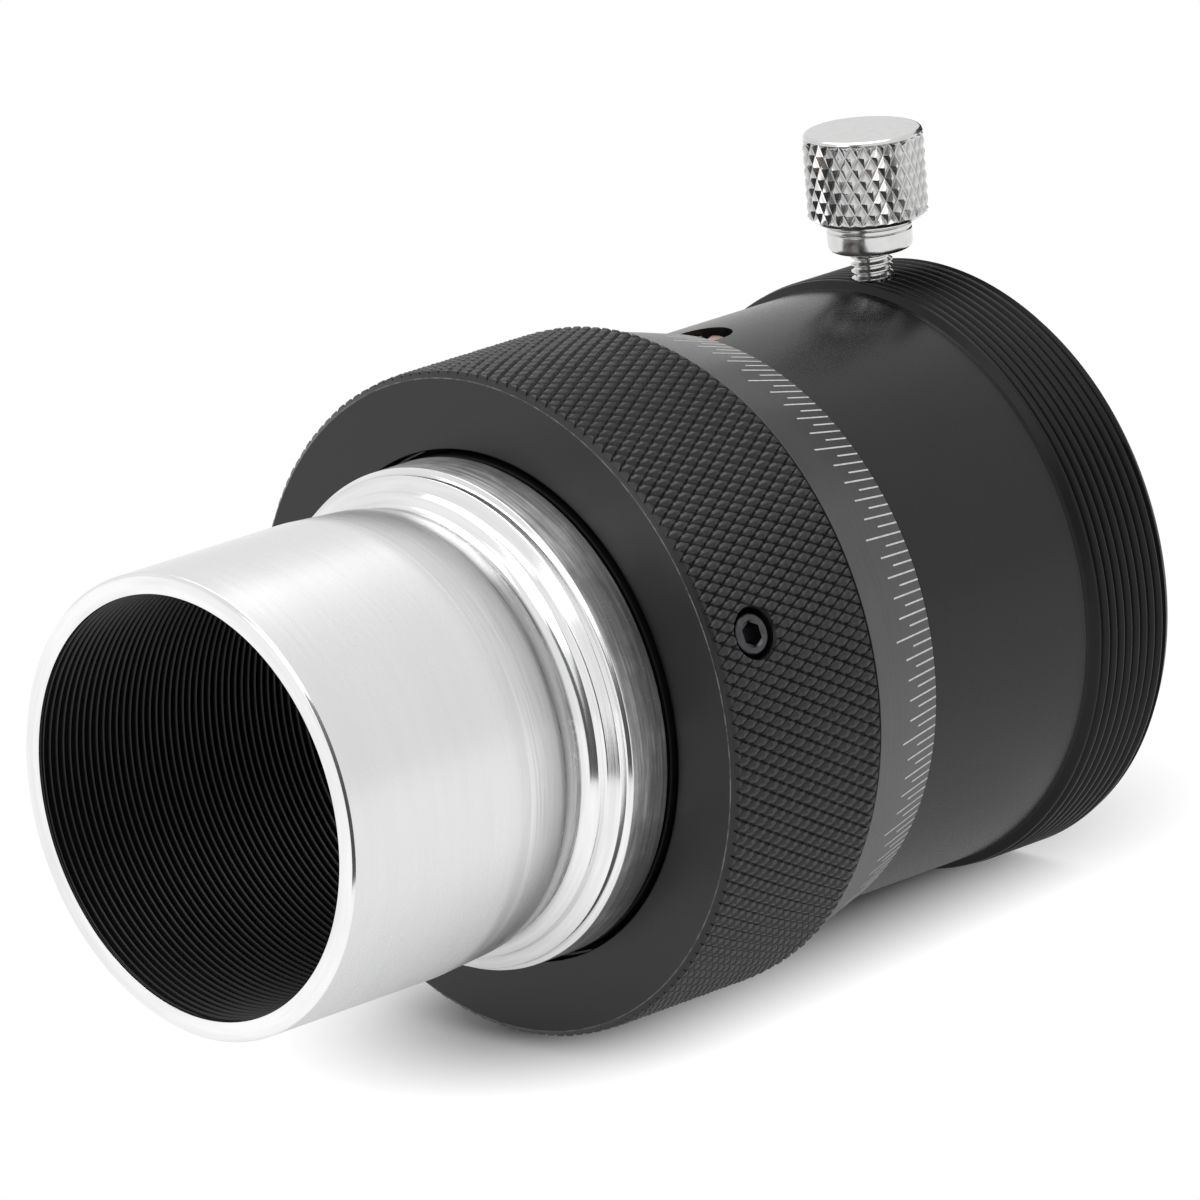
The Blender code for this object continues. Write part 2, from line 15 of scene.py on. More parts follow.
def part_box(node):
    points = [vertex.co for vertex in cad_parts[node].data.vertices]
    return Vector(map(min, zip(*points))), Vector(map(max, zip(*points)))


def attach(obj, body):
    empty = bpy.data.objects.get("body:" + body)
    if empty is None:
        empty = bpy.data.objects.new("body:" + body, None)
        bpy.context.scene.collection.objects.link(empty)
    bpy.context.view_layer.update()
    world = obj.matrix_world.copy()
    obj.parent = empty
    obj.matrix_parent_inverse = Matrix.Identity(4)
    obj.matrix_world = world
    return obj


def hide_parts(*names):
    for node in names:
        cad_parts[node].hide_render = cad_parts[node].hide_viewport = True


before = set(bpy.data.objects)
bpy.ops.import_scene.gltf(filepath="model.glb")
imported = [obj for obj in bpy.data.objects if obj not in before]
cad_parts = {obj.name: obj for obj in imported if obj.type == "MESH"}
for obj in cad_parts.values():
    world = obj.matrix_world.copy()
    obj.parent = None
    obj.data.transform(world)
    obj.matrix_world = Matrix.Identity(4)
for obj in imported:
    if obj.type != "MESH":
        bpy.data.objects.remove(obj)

bl_info = {
    "name": "Helical Focuser",
    "version": (1, 0, 0),
    "blender": (4, 5, 0),
    "location": "3D View > Sidebar > Focuser",
    "description": "Builds the visible pieces of a helical focuser, their finishes and a studio",
    "category": "Object",
}

MM = 0.001
TURN = 2 * math.pi
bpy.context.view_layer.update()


def reach(node):
    """Front, rear and outer radius of a CAD piece that is turned about the X axis."""
    corners = [vertex.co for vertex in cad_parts[node].data.vertices]
    along = [corner.x for corner in corners]
    return min(along), max(along), max(math.hypot(corner.y, corner.z) for corner in corners)


def radial_place(node):
    """Place along the axis, angle and outer end of a CAD screw that stands square to the axis."""
    low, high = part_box(node)
    centre = (low + high) / 2
    angle = math.atan2(-centre.y, centre.z)
    corners = [vertex.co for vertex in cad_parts[node].data.vertices]
    outward = Vector((0, -math.sin(angle), math.cos(angle)))
    return centre.x, angle, min(c.dot(outward) for c in corners), max(c.dot(outward) for c in corners)


NOSE_FRONT, NOSE_REAR, NOSE_FLANGE = reach("nosepiece")
DRAW_FRONT, DRAW_REAR, THRUST_RADIUS = reach("drawtube")
GRIP_FRONT, GRIP_REAR, GRIP_RADIUS = reach("grip_ring")
SCALE_FRONT, SCALE_REAR, SCALE_RADIUS = reach("scale_ring")
TUBE_FRONT, TUBE_REAR, TUBE_RADIUS = reach("body_tube")
HOLDER_FRONT, HOLDER_REAR, THREAD_RADIUS = reach("eyepiece_holder")

FINE_COLUMNS = 288
BORE_COLUMNS = 216
SCALE_COLUMNS = 320
PIN_COLUMNS = 64
HOLE_COLUMNS = 48
LOCKING_SCREWS = range(1, 4)
COVE_SWEEP = math.radians(65)
STEM_CHAMFER = 0.3 * MM
# How much the tops of knurl diamonds vary in height, and their edges besides, in millimetres.
UNEVEN_TOP, UNEVEN_EDGE = (-0.02, 0.01), (-0.012, 0.012)
# Start, floor and end of the grooves round the thumbscrew's neck, below the head, and their depth.
NECK_GROOVES = ((0.28 * MM, 0.34 * MM, 0.42 * MM, 0.08 * MM), (0.66 * MM, 0.72 * MM, 0.80 * MM, 0.07 * MM))
# Points of the rear thread's section: share of its pitch, share of its depth.
THREAD_FLANK = (
    (0.12, 0.22), (0.25, 0.72), (0.38, 0.96), (0.5, 1.0), (0.62, 0.96), (0.75, 0.72), (0.88, 0.22),
)
# Pale tone for the grip ring's front edge: worn anodising and a painted edge highlight.
EDGE_WEAR_AND_HIGHLIGHT_TONE = (0.16, 0.16, 0.157)
CARD_TONE = (0.02, 0.02, 0.02)
FLOOR_HALF = 3.0
# The shade on the floor lies round a line between these places along the axis, on its +Y side.
SHADE_FRONT, SHADE_REAR, SHADE_ASIDE = 11 * MM, 50 * MM, 5 * MM
LAMP_AIM = Vector((0.012, 0, 0))


def size(name, description, millimetres):
    """A length that a user may change."""
    return bpy.props.FloatProperty(
        name=name, description=description, default=millimetres * MM, precision=5, unit="LENGTH",
        subtype="DISTANCE",
    )


def amount(name, description, default, top=1.0):
    """A plain factor between nothing and its top value."""
    return bpy.props.FloatProperty(name=name, description=description, default=default, min=0.0, max=top)


def count(name, description, default):
    return bpy.props.IntProperty(name=name, description=description, default=default, min=1)


def turn_by(name, description, degrees):
    return bpy.props.FloatProperty(
        name=name, description=description, default=math.radians(degrees), unit="ROTATION", subtype="ANGLE"
    )


def colour(name, description, *parts):
    return bpy.props.FloatVectorProperty(
        name=name, description=description, default=parts, size=3, min=0.0, max=1.0, subtype="COLOR"
    )


class NosepieceSettings(bpy.types.PropertyGroup):
    barrel_radius: size("Barrel radius", "Outer radius of the barrel that enters the telescope", 15.875)
    rim_chamfer: size("Rim chamfer", "Chamfer at the barrel's mouth", 0.2)
    rim_bore: size("Rim bore", "Inner radius of the bright rim, where the black lining starts", 14.46)
    rim_depth: size("Rim depth", "Depth of the bright rim", 0.12)
    shell_bore: size("Shell bore", "Inner radius of the bright shell behind the rim", 14.8)
    undercut_start: size("Undercut start", "How far in front of the shoulder the taper starts", 9.3)
    undercut_middle: size("Undercut middle", "Radius where the taper gets steeper", 15.53)
    undercut_radius: size("Undercut radius", "Smallest radius of the taper", 15.18)
    cove_radius: size("Cove radius", "Radius of the cove before the first step", 0.75)
    cove_end: size("Cove end", "Place where the cove meets the first step", -2.2)
    flange_start: size("Flange start", "Place where the brushed flange starts", -0.2)
    first_step: size("First step", "Radius of the first polished step", 16.0)
    first_step_start: size("First step start", "Place where the first step starts", -2.05)
    first_step_end: size("First step end", "Place where the first step ends", -1.42)
    second_step: size("Second step", "Radius of the second polished step", 16.95)
    second_step_start: size("Second step start", "Place where the second step starts", -1.02)
    second_step_end: size("Second step end", "Place where the second step ends", -0.38)
    flange_depth: size("Flange depth", "Length of the brushed flange behind the shoulder", 3.0)
    spigot_radius: size("Spigot radius", "Radius of the spigot that enters the drawtube", 15.9)
    ridge_pitch: size("Ridge pitch", "Spacing of the fine ridges in the bore", 0.6)
    ridge_crest: size("Ridge crest", "Inner radius of the ridges", 14.4)
    ridge_depth: size("Ridge depth", "Depth of the grooves between the ridges", 0.26)


class DrawtubeSettings(bpy.types.PropertyGroup):
    socket_radius: size("Socket radius", "Radius of the socket for the nosepiece", 16.2)
    socket_floor: size("Socket floor", "Place of the socket's floor along the axis", 8.3)
    journal_radius: size("Journal radius", "Radius that the grip ring turns on", 17.3)
    thrust_start: size("Thrust flange start", "Front of the thrust flange", 6.06)
    thrust_end: size("Thrust flange end", "Rear of the thrust flange", 8.86)
    tube_radius: size("Tube radius", "Outer radius behind the thrust flange", 16.6)
    bore: size("Bore", "Inner radius over the ridges", 14.9)
    guide_hole: size("Guide hole", "Radius of the hole for the guide screw", 1.75)


class GripSettings(bpy.types.PropertyGroup):
    diamonds: count("Diamonds round", "Knurl diamonds round the grip", 153)
    rows: count("Half rows", "Half rows of diamonds along the grip", 16)
    groove_depth: size("Groove depth", "Depth of the knurl where two grooves cross", 0.32)
    middle_depth: size("Middle depth", "Depth of a groove halfway between two crossings", 0.22)
    flat_share: amount("Flat share", "Share of a diamond's width that its blunt top takes", 0.58)
    peak: size("Peak", "How far the middle of a diamond stands over the edge of its top", 0.09)
    ramp: size("Ramp", "How far the diamonds stay away from the knurl's ends", 0.2)
    bore: size("Bore", "Inner radius of the front wall", 17.65)
    cavity: size("Cavity", "Inner radius behind the front wall", 21.6)
    front_wall: size("Front wall", "Thickness of the front wall", 1.4)
    chamfer: size("Chamfer", "Chamfer between the front face and the knurl", 0.2)
    relief: size("Relief band", "Width of the smooth band in front of the knurl", 0.04)
    hole_radius: size("Screw hole", "Radius of the holes for the locking screws", 1.75)
    hole_flare: size("Hole flare", "How much wider a hole is at its mouth", 0.2)


class ScaleSettings(bpy.types.PropertyGroup):
    rear_radius: size("Rear radius", "Radius of the cone at its rear edge", 20.685)
    bore: size("Bore", "Inner radius of the cone", 20.3)
    divisions: count("Divisions", "Marks round the scale, each worth 0.05 mm of travel", 192)
    first_angle: turn_by("First mark", "Angle of the first long mark from the top", -31.05)
    long_mark: size("Long mark", "Length of every tenth mark", 4.25)
    medium_mark: size("Medium mark", "Length of the other even marks", 3.4)
    short_mark: size("Short mark", "Length of the odd marks", 2.3)
    mark_width: size("Mark width", "Width of the marks", 0.115)


class HousingSettings(bpy.types.PropertyGroup):
    bore: size("Bore", "Inner radius of the housing", 16.9)
    root_radius: size("Helicoid root", "Radius between the helicoid's ridges", 18.0)
    crest_radius: size("Helicoid crest", "Radius over the helicoid's ridges", 18.8)
    lead: size("Lead", "How far the housing moves in one turn of the ring", 9.6)
    starts: count("Starts", "Ridges that the helicoid has side by side", 3)
    ridge_half: size("Ridge half width", "Half the width of a ridge at its crest", 0.483)
    root_half: size("Root half width", "Half the width of a ridge at its root", 0.945)
    first_ridge: size("First ridge", "Place of a ridge's middle at the top of the helicoid", 0.36)
    neck_front: size("Neck front", "Where the helicoid ends and the neck starts", 23.58)
    neck_radius: size("Neck radius", "Radius of the neck under the scale ring", 20.0)
    tube_front: size("Tube front", "Where the smooth tube starts", 25.36)
    pocket_radius: size("Pocket radius", "Inner radius at the rear, for the eyepiece holder", 18.9)
    pocket_front: size("Pocket front", "Where the rear pocket starts", 30.3)
    slot_front: size("Slot front", "Middle of the guide slot's front end", 18.65)
    slot_rear: size("Slot rear", "Middle of the guide slot's rear end", 26.95)
    slot_radius: size("Slot radius", "Half the width of the guide slot", 2.0)


class CollarSettings(bpy.types.PropertyGroup):
    spigot_radius: size("Spigot radius", "Radius of the part inside the housing", 18.6)
    collar_front: size("Collar front", "Where the collar starts", 40.2)
    collar_lead: size("Collar lead", "Length of the shoulder in front of the thread", 0.9)
    pitch: size("Thread pitch", "Pitch of the rear thread", 0.75)
    thread_depth: size("Thread depth", "Depth of the rear thread", 0.42)
    rear_chamfer: size("Rear chamfer", "Chamfer at the rear face", 0.3)
    socket_radius: size("Socket radius", "Radius of the eyepiece socket", 15.925)
    socket_floor: size("Socket floor", "Place of the lip that stops the eyepiece", 32.1)
    lip_radius: size("Lip radius", "Inner radius of that lip", 14.5)
    mouth_chamfer: size("Mouth chamfer", "Chamfer at the socket's mouth", 0.45)
    clamp_hole: size("Clamp hole", "Radius of the hole for the thumbscrew", 1.52)


class ScrewSettings(bpy.types.PropertyGroup):
    stem_radius: size("Stem radius", "Radius over the thread of every small screw", 1.45)
    stem_pitch: size("Stem pitch", "Pitch of the thumbscrew's thread", 0.5)
    neck_radius: size("Neck radius", "Radius of the thumbscrew's neck", 2.95)
    neck_low: size("Neck bottom", "Height of the neck's underside over the axis", 22.95)
    head_low: size("Head bottom", "Height of the knurled head's underside over the axis", 25.15)
    head_radius: size("Head radius", "Radius of the knurled head", 4.2)
    diamonds: count("Diamonds round", "Knurl diamonds round the head", 28)
    rows: count("Half rows", "Half rows of diamonds up the head", 7)
    knurl_depth: size("Knurl depth", "Depth of the head's knurl", 0.28)
    flat_share: amount("Flat share", "Share of a diamond's width that its top takes", 0.22)
    peak: size("Peak", "How far the middle of a diamond stands over the edge of its top", 0.04)
    ramp: size("Ramp", "How far the diamonds stay away from the knurl's ends", 0.12)
    hex_across: size("Hex across flats", "Size of the locking screws' socket", 1.5)
    hex_depth: size("Hex depth", "Depth of that socket", 1.3)
    guide_head: size("Guide screw head", "Radius of the guide screw's head", 1.7)
    guide_seat: size("Guide screw seat", "Height of that head's underside over the axis", 16.9)
    slot_width: size("Driver slot width", "Width of the slot in the guide screw", 0.7)
    slot_depth: size("Driver slot depth", "Depth of the slot in the guide screw", 0.8)
    slot_turn: turn_by("Driver slot turn", "Angle of that slot from the axis", 28)


class FinishSettings(bpy.types.PropertyGroup):
    aluminium: colour("Aluminium", "Turned aluminium of the nosepiece", 0.83, 0.83, 0.835)
    brushed: colour("Brushed flange", "Darker brushed band of the nosepiece", 0.71, 0.71, 0.72)
    black: colour("Black anodising", "Satin black of the ring, tube and collar", 0.0055, 0.0055, 0.0057)
    bore: colour("Bore black", "Black inside the tubes", 0.0030, 0.0027, 0.0026)
    scale: colour("Scale grey", "Dark grey of the scale ring", 0.046, 0.046, 0.047)
    mark: colour("Marks", "Light grey of the scale's marks", 0.72, 0.72, 0.70)
    bronze: colour("Bronze", "Guide screw", 0.62, 0.42, 0.33)
    steel: colour("Blackened steel", "Locking screws", 0.085, 0.085, 0.09)
    nickel: colour("Nickel", "Clamp thumbscrew", 0.73, 0.73, 0.725)
    washer: colour("Washers", "Thrust washers", 0.75, 0.75, 0.72)
    tip: colour("Clamp tip", "Soft tip under the thumbscrew", 0.68, 0.67, 0.62)


class StudioSettings(bpy.types.PropertyGroup):
    azimuth: turn_by("Camera azimuth", "Direction of the camera round the object", -43.3316)
    elevation: turn_by("Camera elevation", "Height of the camera above the horizon", 15.1352)
    roll: turn_by("Camera roll", "Turn of the camera about its own view", -4.5206)
    distance: size("Camera distance", "From the camera to the point that it looks at", 807.888)
    aim: bpy.props.FloatVectorProperty(
        name="Camera aim", description="Point that the camera looks at", size=3, subtype="XYZ", unit="LENGTH",
        default=(14.128 * MM, -0.210 * MM, 4.832 * MM), precision=5,
    )
    lens: bpy.props.FloatProperty(
        name="Lens", description="Focal length in millimetres on a sensor 36 mm wide", min=1.0,
        default=359.407,
    )
    sky: amount("Sky", "Light that comes from all round", 0.68, 5.0)
    mirrored: amount("Mirrored sky", "Brightness of the sky in reflections", 0.86)
    overhead: amount("Overhead lamp", "Power of the large lamp above, in watts", 1.3, 50.0)
    side: amount("Side lamp", "Power of the lamp at the left, in watts", 0.5, 50.0)
    floor: colour("Floor", "Paper under the focuser", 0.93, 0.93, 0.93)
    card: turn_by("Front card", "Direction of the front dark card round the object", -57)


class Turning:
    """A surface turned about the X axis: rings of points, and the faces between them."""

    def __init__(self, columns):
        self.columns = columns
        self.points = []
        self.faces = []

    def place(self, axial, radius, column):
        angle = TURN * column / self.columns
        self.points.append((axial, -radius * math.sin(angle), radius * math.cos(angle)))
        return len(self.points) - 1

    def ring(self, axial, radius):
        return [self.place(axial, radius, column) for column in range(self.columns)]

    def face(self, *corners):
        """Adds a face, without the corners that have fallen together."""
        kept = [corner for i, corner in enumerate(corners) if corner != corners[i - 1]]
        if len(set(kept)) == len(kept) and len(kept) > 2:
            self.faces.append(kept)

    def band(self, front, rear):
        for column in range(self.columns):
            after = (column + 1) % self.columns
            self.face(front[column], front[after], rear[after], rear[column])

    def run(self, outline):
        """Rings through a list of places and radii, with the bands between them."""
        rings = [self.ring(axial, radius) for axial, radius in outline]
        for front, rear in zip(rings, rings[1:]):
            self.band(front, rear)
        return rings

    def cap(self, ring):
        self.faces.append(list(ring))

    def thread(self, front, rear, span, profile, pitch, starts=1, origin=0.0, limit=None):
        """Helical ridges between two rings. The profile lists (share of the pitch, radius)."""
        start, end = span
        rows = len(profile)
        lead = pitch * starts
        lowest = (math.floor((start - origin - lead) / pitch) - 1) * rows
        highest = (math.ceil((end - origin) / pitch) + 1) * rows
        made = {}

        def corner(column, row):
            if column == self.columns:
                column, row = 0, row + starts * rows
            if (column, row) not in made:
                share, radius = profile[row % rows]
                axial = origin + pitch * (row // rows + share) + lead * column / self.columns
                if axial <= start:
                    made[column, row] = front[column]
                elif axial >= end:
                    made[column, row] = rear[column]
                else:
                    radius = limit(axial, radius) if limit else radius
                    made[column, row] = self.place(axial, radius, column)
            return made[column, row]

        for column in range(self.columns):
            for row in range(lowest, highest):
                after, above = column + 1, row + 1
                self.face(
                    corner(column, row), corner(after, row), corner(after, above), corner(column, above)
                )

    def knurl(self, front, rear, span, rows, radii, flat, ramp, peak, dice):
        """Diamonds with blunt tops between two families of grooves. There are two columns to a diamond."""
        top, crossing, middle = radii
        start, end = span
        step = (end - start) / rows
        made = {}

        def groove(column, row):
            """Point of the grooves, in half columns and half rows."""
            column %= 2 * self.columns
            if (column, row) not in made:
                if row == 0:
                    made[column, row] = front[column // 2]
                elif row == 2 * rows:
                    made[column, row] = rear[column // 2]
                else:
                    radius = middle if column % 2 else crossing
                    made[column, row] = self.place(start + step * row / 2, radius, column / 2)
            return made[column, row]

        for row in range(rows + 1):
            for column in range(self.columns):
                if (row + column) % 2 == 0:
                    continue
                height = dice.uniform(*UNEVEN_TOP) * MM
                tops, corners = [], []
                for aside, along in ((-1, 0), (0, -1), (1, 0), (0, 1)):
                    if not 0 <= row + along <= rows:
                        tops.append(None)
                        corners.append(None)
                        continue
                    axial = start + step * (row + flat * along)
                    axial = min(max(axial, start + ramp), end - ramp)
                    lift = height - peak + dice.uniform(*UNEVEN_EDGE) * MM
                    tops.append(self.place(axial, top + lift, column + flat * aside))
                    corners.append(groove(2 * (column + aside), 2 * (row + along)))
                if None in tops:
                    self.face(*[point for point in tops if point is not None])
                else:
                    middle_point = self.place(start + step * row, top + min(height, 0), column)
                    for side in range(4):
                        self.face(tops[side - 1], tops[side], middle_point)
                for side, (aside, along) in enumerate(((-1, -1), (1, -1), (1, 1), (-1, 1))):
                    after = (side + 1) % 4
                    if tops[side] is None or tops[after] is None:
                        continue
                    between = groove(2 * column + aside, 2 * row + along)
                    self.face(tops[side], tops[after], between)
                    self.face(tops[side], between, corners[side])
                    self.face(tops[after], corners[after], between)
                if row in (0, rows):
                    edge = front if row == 0 else rear
                    self.face(tops[0], tops[2], corners[2], edge[column], corners[0])

    def finish(self, name, pose=None):
        """Turns the points and faces into an object whose faces look outward."""
        mesh = bpy.data.meshes.new(name)
        points = [pose @ Vector(point) for point in self.points] if pose else self.points
        mesh.from_pydata(points, [], self.faces)
        shape = bmesh.new()
        shape.from_mesh(mesh)
        loose = [vertex for vertex in shape.verts if not vertex.link_faces]
        bmesh.ops.delete(shape, geom=loose, context="VERTS")
        bmesh.ops.recalc_face_normals(shape, faces=shape.faces)
        shape.to_mesh(mesh)
        shape.free()
        return linked(name, mesh)


def linked(name, data):
    """A new object in the scene."""
    made = bpy.data.objects.new(name, data)
    bpy.context.scene.collection.objects.link(made)
    return made


def eased(corners, steps=4):
    """Rounds an outline of places, radii and how many millimetres back the rounding of a corner starts."""
    outline = []
    for i, (axial, radius, ease) in enumerate(corners):
        corner = Vector((axial, radius))
        if ease <= 0 or i in (0, len(corners) - 1):
            outline.append((axial, radius))
            continue
        before = Vector(corners[i - 1][:2]) - corner
        after = Vector(corners[i + 1][:2]) - corner
        start = corner + before.normalized() * min(ease * MM, before.length * 0.45)
        end = corner + after.normalized() * min(ease * MM, after.length * 0.45)
        for step in range(steps + 1):
            share = step / steps
            outline.append(tuple(
                start * (1 - share) ** 2 + corner * 2 * share * (1 - share) + end * share ** 2
            ))
    return outline


def ring_solid(name, columns, corners):
    """A closed ring from an outline that goes once round its section."""
    turning = Turning(columns)
    rings = turning.run(eased([*corners, corners[0]])[:-1])
    turning.band(rings[-1], rings[0])
    return turning.finish(name)


def ridged_tube(name, outline, start, crest, nose):
    """A tube with ridges in its bore, from the end of its outline: wide flat grooves and narrow crests."""
    root = crest + nose.ridge_depth
    side = (root + 2 * crest) / 3
    profile = [(0.0, root), (0.44, root), (0.54, side), (0.64, crest), (0.76, crest), (0.86, side)]
    tube = Turning(BORE_COLUMNS)
    rings = tube.run(outline)
    tube.thread(rings[-1], rings[0], (start, outline[0][0]), profile, nose.ridge_pitch)
    return tube.finish(name)


def cut(piece, *cutters):
    """Takes the cutters out of a piece and deletes them."""
    for cutter in cutters:
        boolean = piece.modifiers.new(f"Cut {cutter.name}", "BOOLEAN")
        boolean.operation = "DIFFERENCE"
        boolean.solver = "EXACT"
        boolean.object = cutter
    bake(piece)
    for cutter in cutters:
        mesh = cutter.data
        bpy.data.objects.remove(cutter)
        bpy.data.meshes.remove(mesh)
    return piece


def bake(piece):
    """Applies all the modifiers of a piece."""
    bpy.context.view_layer.update()
    evaluated = piece.evaluated_get(bpy.context.evaluated_depsgraph_get())
    mesh = bpy.data.meshes.new_from_object(evaluated)
    old = piece.data
    piece.modifiers.clear()
    piece.data = mesh
    name = old.name
    bpy.data.meshes.remove(old)
    mesh.name = name


def dress(piece, body, material, sharp=28):
    """Shades a piece smoothly between its sharp edges, gives it its finish and hangs it on its body."""
    piece.data.shade_smooth()
    piece.data.set_sharp_from_angle(angle=math.radians(sharp))
    even = piece.modifiers.new("Even normals", "WEIGHTED_NORMAL")
    even.keep_sharp = True
    bake(piece)
    piece.data.materials.clear()
    piece.data.materials.append(material)
    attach(piece, body)


def upright(along, angle=0.0):
    """Pose that stands a turned piece's axis square to the focuser's axis, at an angle round it."""
    outward = Vector((0, -math.sin(angle), math.cos(angle)))
    forward = Vector((1, 0, 0))
    aside = outward.cross(forward)
    pose = Matrix((outward, forward, aside)).transposed().to_4x4()
    pose.translation = (along, 0, 0)
    return pose


def pin(name, columns, corners, pose):
    """A closed pin from an outline of heights and radii that runs from its lower face to its upper one."""
    turning = Turning(columns)
    rings = turning.run(eased(corners))
    turning.cap(rings[0])
    turning.cap(rings[-1])
    return turning.finish(name, pose)


def hole(name, along, angle, radius, low, high):
    """A cutter for a hole that stands square to the focuser's axis."""
    return pin(name, HOLE_COLUMNS, [(low, radius, 0), (high, radius, 0)], upright(along, angle))


class Finish:
    """A material whose nodes are added one by one."""

    def __init__(self, name, metallic=0.0, roughness=0.4, specular=0.5):
        self.material = bpy.data.materials.new(name)
        self.material.use_nodes = True
        self.tree = self.material.node_tree
        self.shader = self.tree.nodes["Principled BSDF"]
        self.shader.inputs["Metallic"].default_value = metallic
        self.shader.inputs["Roughness"].default_value = roughness
        self.shader.inputs["Specular IOR Level"].default_value = specular

    def add(self, kind, output, *values, **options):
        """Adds a node, sets its options and its first inputs, and returns one of its outputs."""
        node = self.tree.nodes.new("ShaderNode" + kind)
        for option, value in options.items():
            setattr(node, option, value)
        for socket, value in zip([s for s in node.inputs if s.enabled], values):
            self.feed(socket, value)
        return node.outputs[output]

    def feed(self, socket, value):
        if isinstance(value, bpy.types.NodeSocket):
            self.tree.links.new(value, socket)
        elif value is not None:
            socket.default_value = value

    def math(self, operation, *values):
        return self.add("Math", "Value", *values, operation=operation)

    def join(self, x, y, z):
        return self.add("CombineXYZ", "Vector", x, y, z)

    def times(self, first, second):
        return self.math("MULTIPLY", first, second)

    def plus(self, first, second):
        return self.math("ADD", first, second)

    def noise(self, vector, scale, detail):
        node = self.tree.nodes.new("ShaderNodeTexNoise")
        self.feed(node.inputs["Vector"], vector)
        for socket, value in (("Scale", scale), ("Detail", detail), ("Roughness", 0.6)):
            self.feed(node.inputs[socket], value)
        return node.outputs["Fac"]

    def remap(self, value, low, high, to_low=0.0, to_high=1.0):
        return self.add("MapRange", "Result", value, low, high, to_low, to_high)

    def mix(self, share, first, second):
        """Mixes two values."""
        return self.add("Mix", "Result", share, first, second)

    def blend(self, share, first, second):
        """Mixes two colours."""
        node = self.tree.nodes.new("ShaderNodeMix")
        node.data_type = "RGBA"
        self.feed(node.inputs["Factor"], share)
        for socket, value in ((node.inputs[6], first), (node.inputs[7], second)):
            self.feed(socket, value if isinstance(value, bpy.types.NodeSocket) else (*value, 1.0))
        return node.outputs[2]

    def tint(self, value):
        self.feed(self.shader.inputs["Base Color"], value)

    def rough(self, value):
        self.feed(self.shader.inputs["Roughness"], value)

    def bump(self, height, depth, strength):
        node = self.tree.nodes.new("ShaderNodeBump")
        self.feed(node.inputs["Height"], height)
        self.feed(node.inputs["Distance"], depth)
        self.feed(node.inputs["Strength"], strength)
        self.tree.links.new(node.outputs["Normal"], self.shader.inputs["Normal"])

    def split(self, vector):
        """The three parts of a vector."""
        node = self.tree.nodes.new("ShaderNodeSeparateXYZ")
        self.feed(node.inputs[0], vector)
        return tuple(node.outputs)

    def away(self, first, second):
        """Length of a vector in a plane."""
        return self.math("SQRT", self.plus(self.times(first, first), self.times(second, second)))

    def turned(self, pose=None):
        """Place along the axis, radius, and the two parts of the direction round the axis."""
        here = self.add("TexCoord", "Object")
        if pose:
            here = self.add("VectorMath", "Vector", here, tuple(pose.translation), operation="SUBTRACT")
        x, y, z = self.split(here)
        axial, first, second = (z, x, y) if pose else (x, y, z)
        radius = self.math("MAXIMUM", self.away(first, second), 1e-5)
        return axial, radius, self.math("DIVIDE", first, radius), self.math("DIVIDE", second, radius)

    def hairlines(self, vector, scale, width):
        """Thin wandering scratches: one where they run, zero between them."""
        off = self.math("ABSOLUTE", self.math("SUBTRACT", self.noise(vector, scale, 2.0), 0.5))
        return self.remap(off, 0.0, width, 1.0, 0.0)

    def lathe(self, turned, fine, around, detail=3.0):
        """Noise drawn out round the axis, as a lathe tool or a cloth leaves it."""
        axial, radius, first, second = turned
        along = self.times(self.plus(axial, radius), fine)
        vector = self.join(along, self.times(first, around), self.times(second, around))
        return self.noise(vector, 1.0, detail)


def shade(tone, share):
    """A colour made darker or lighter."""
    return [min(1.0, share * part) for part in tone]


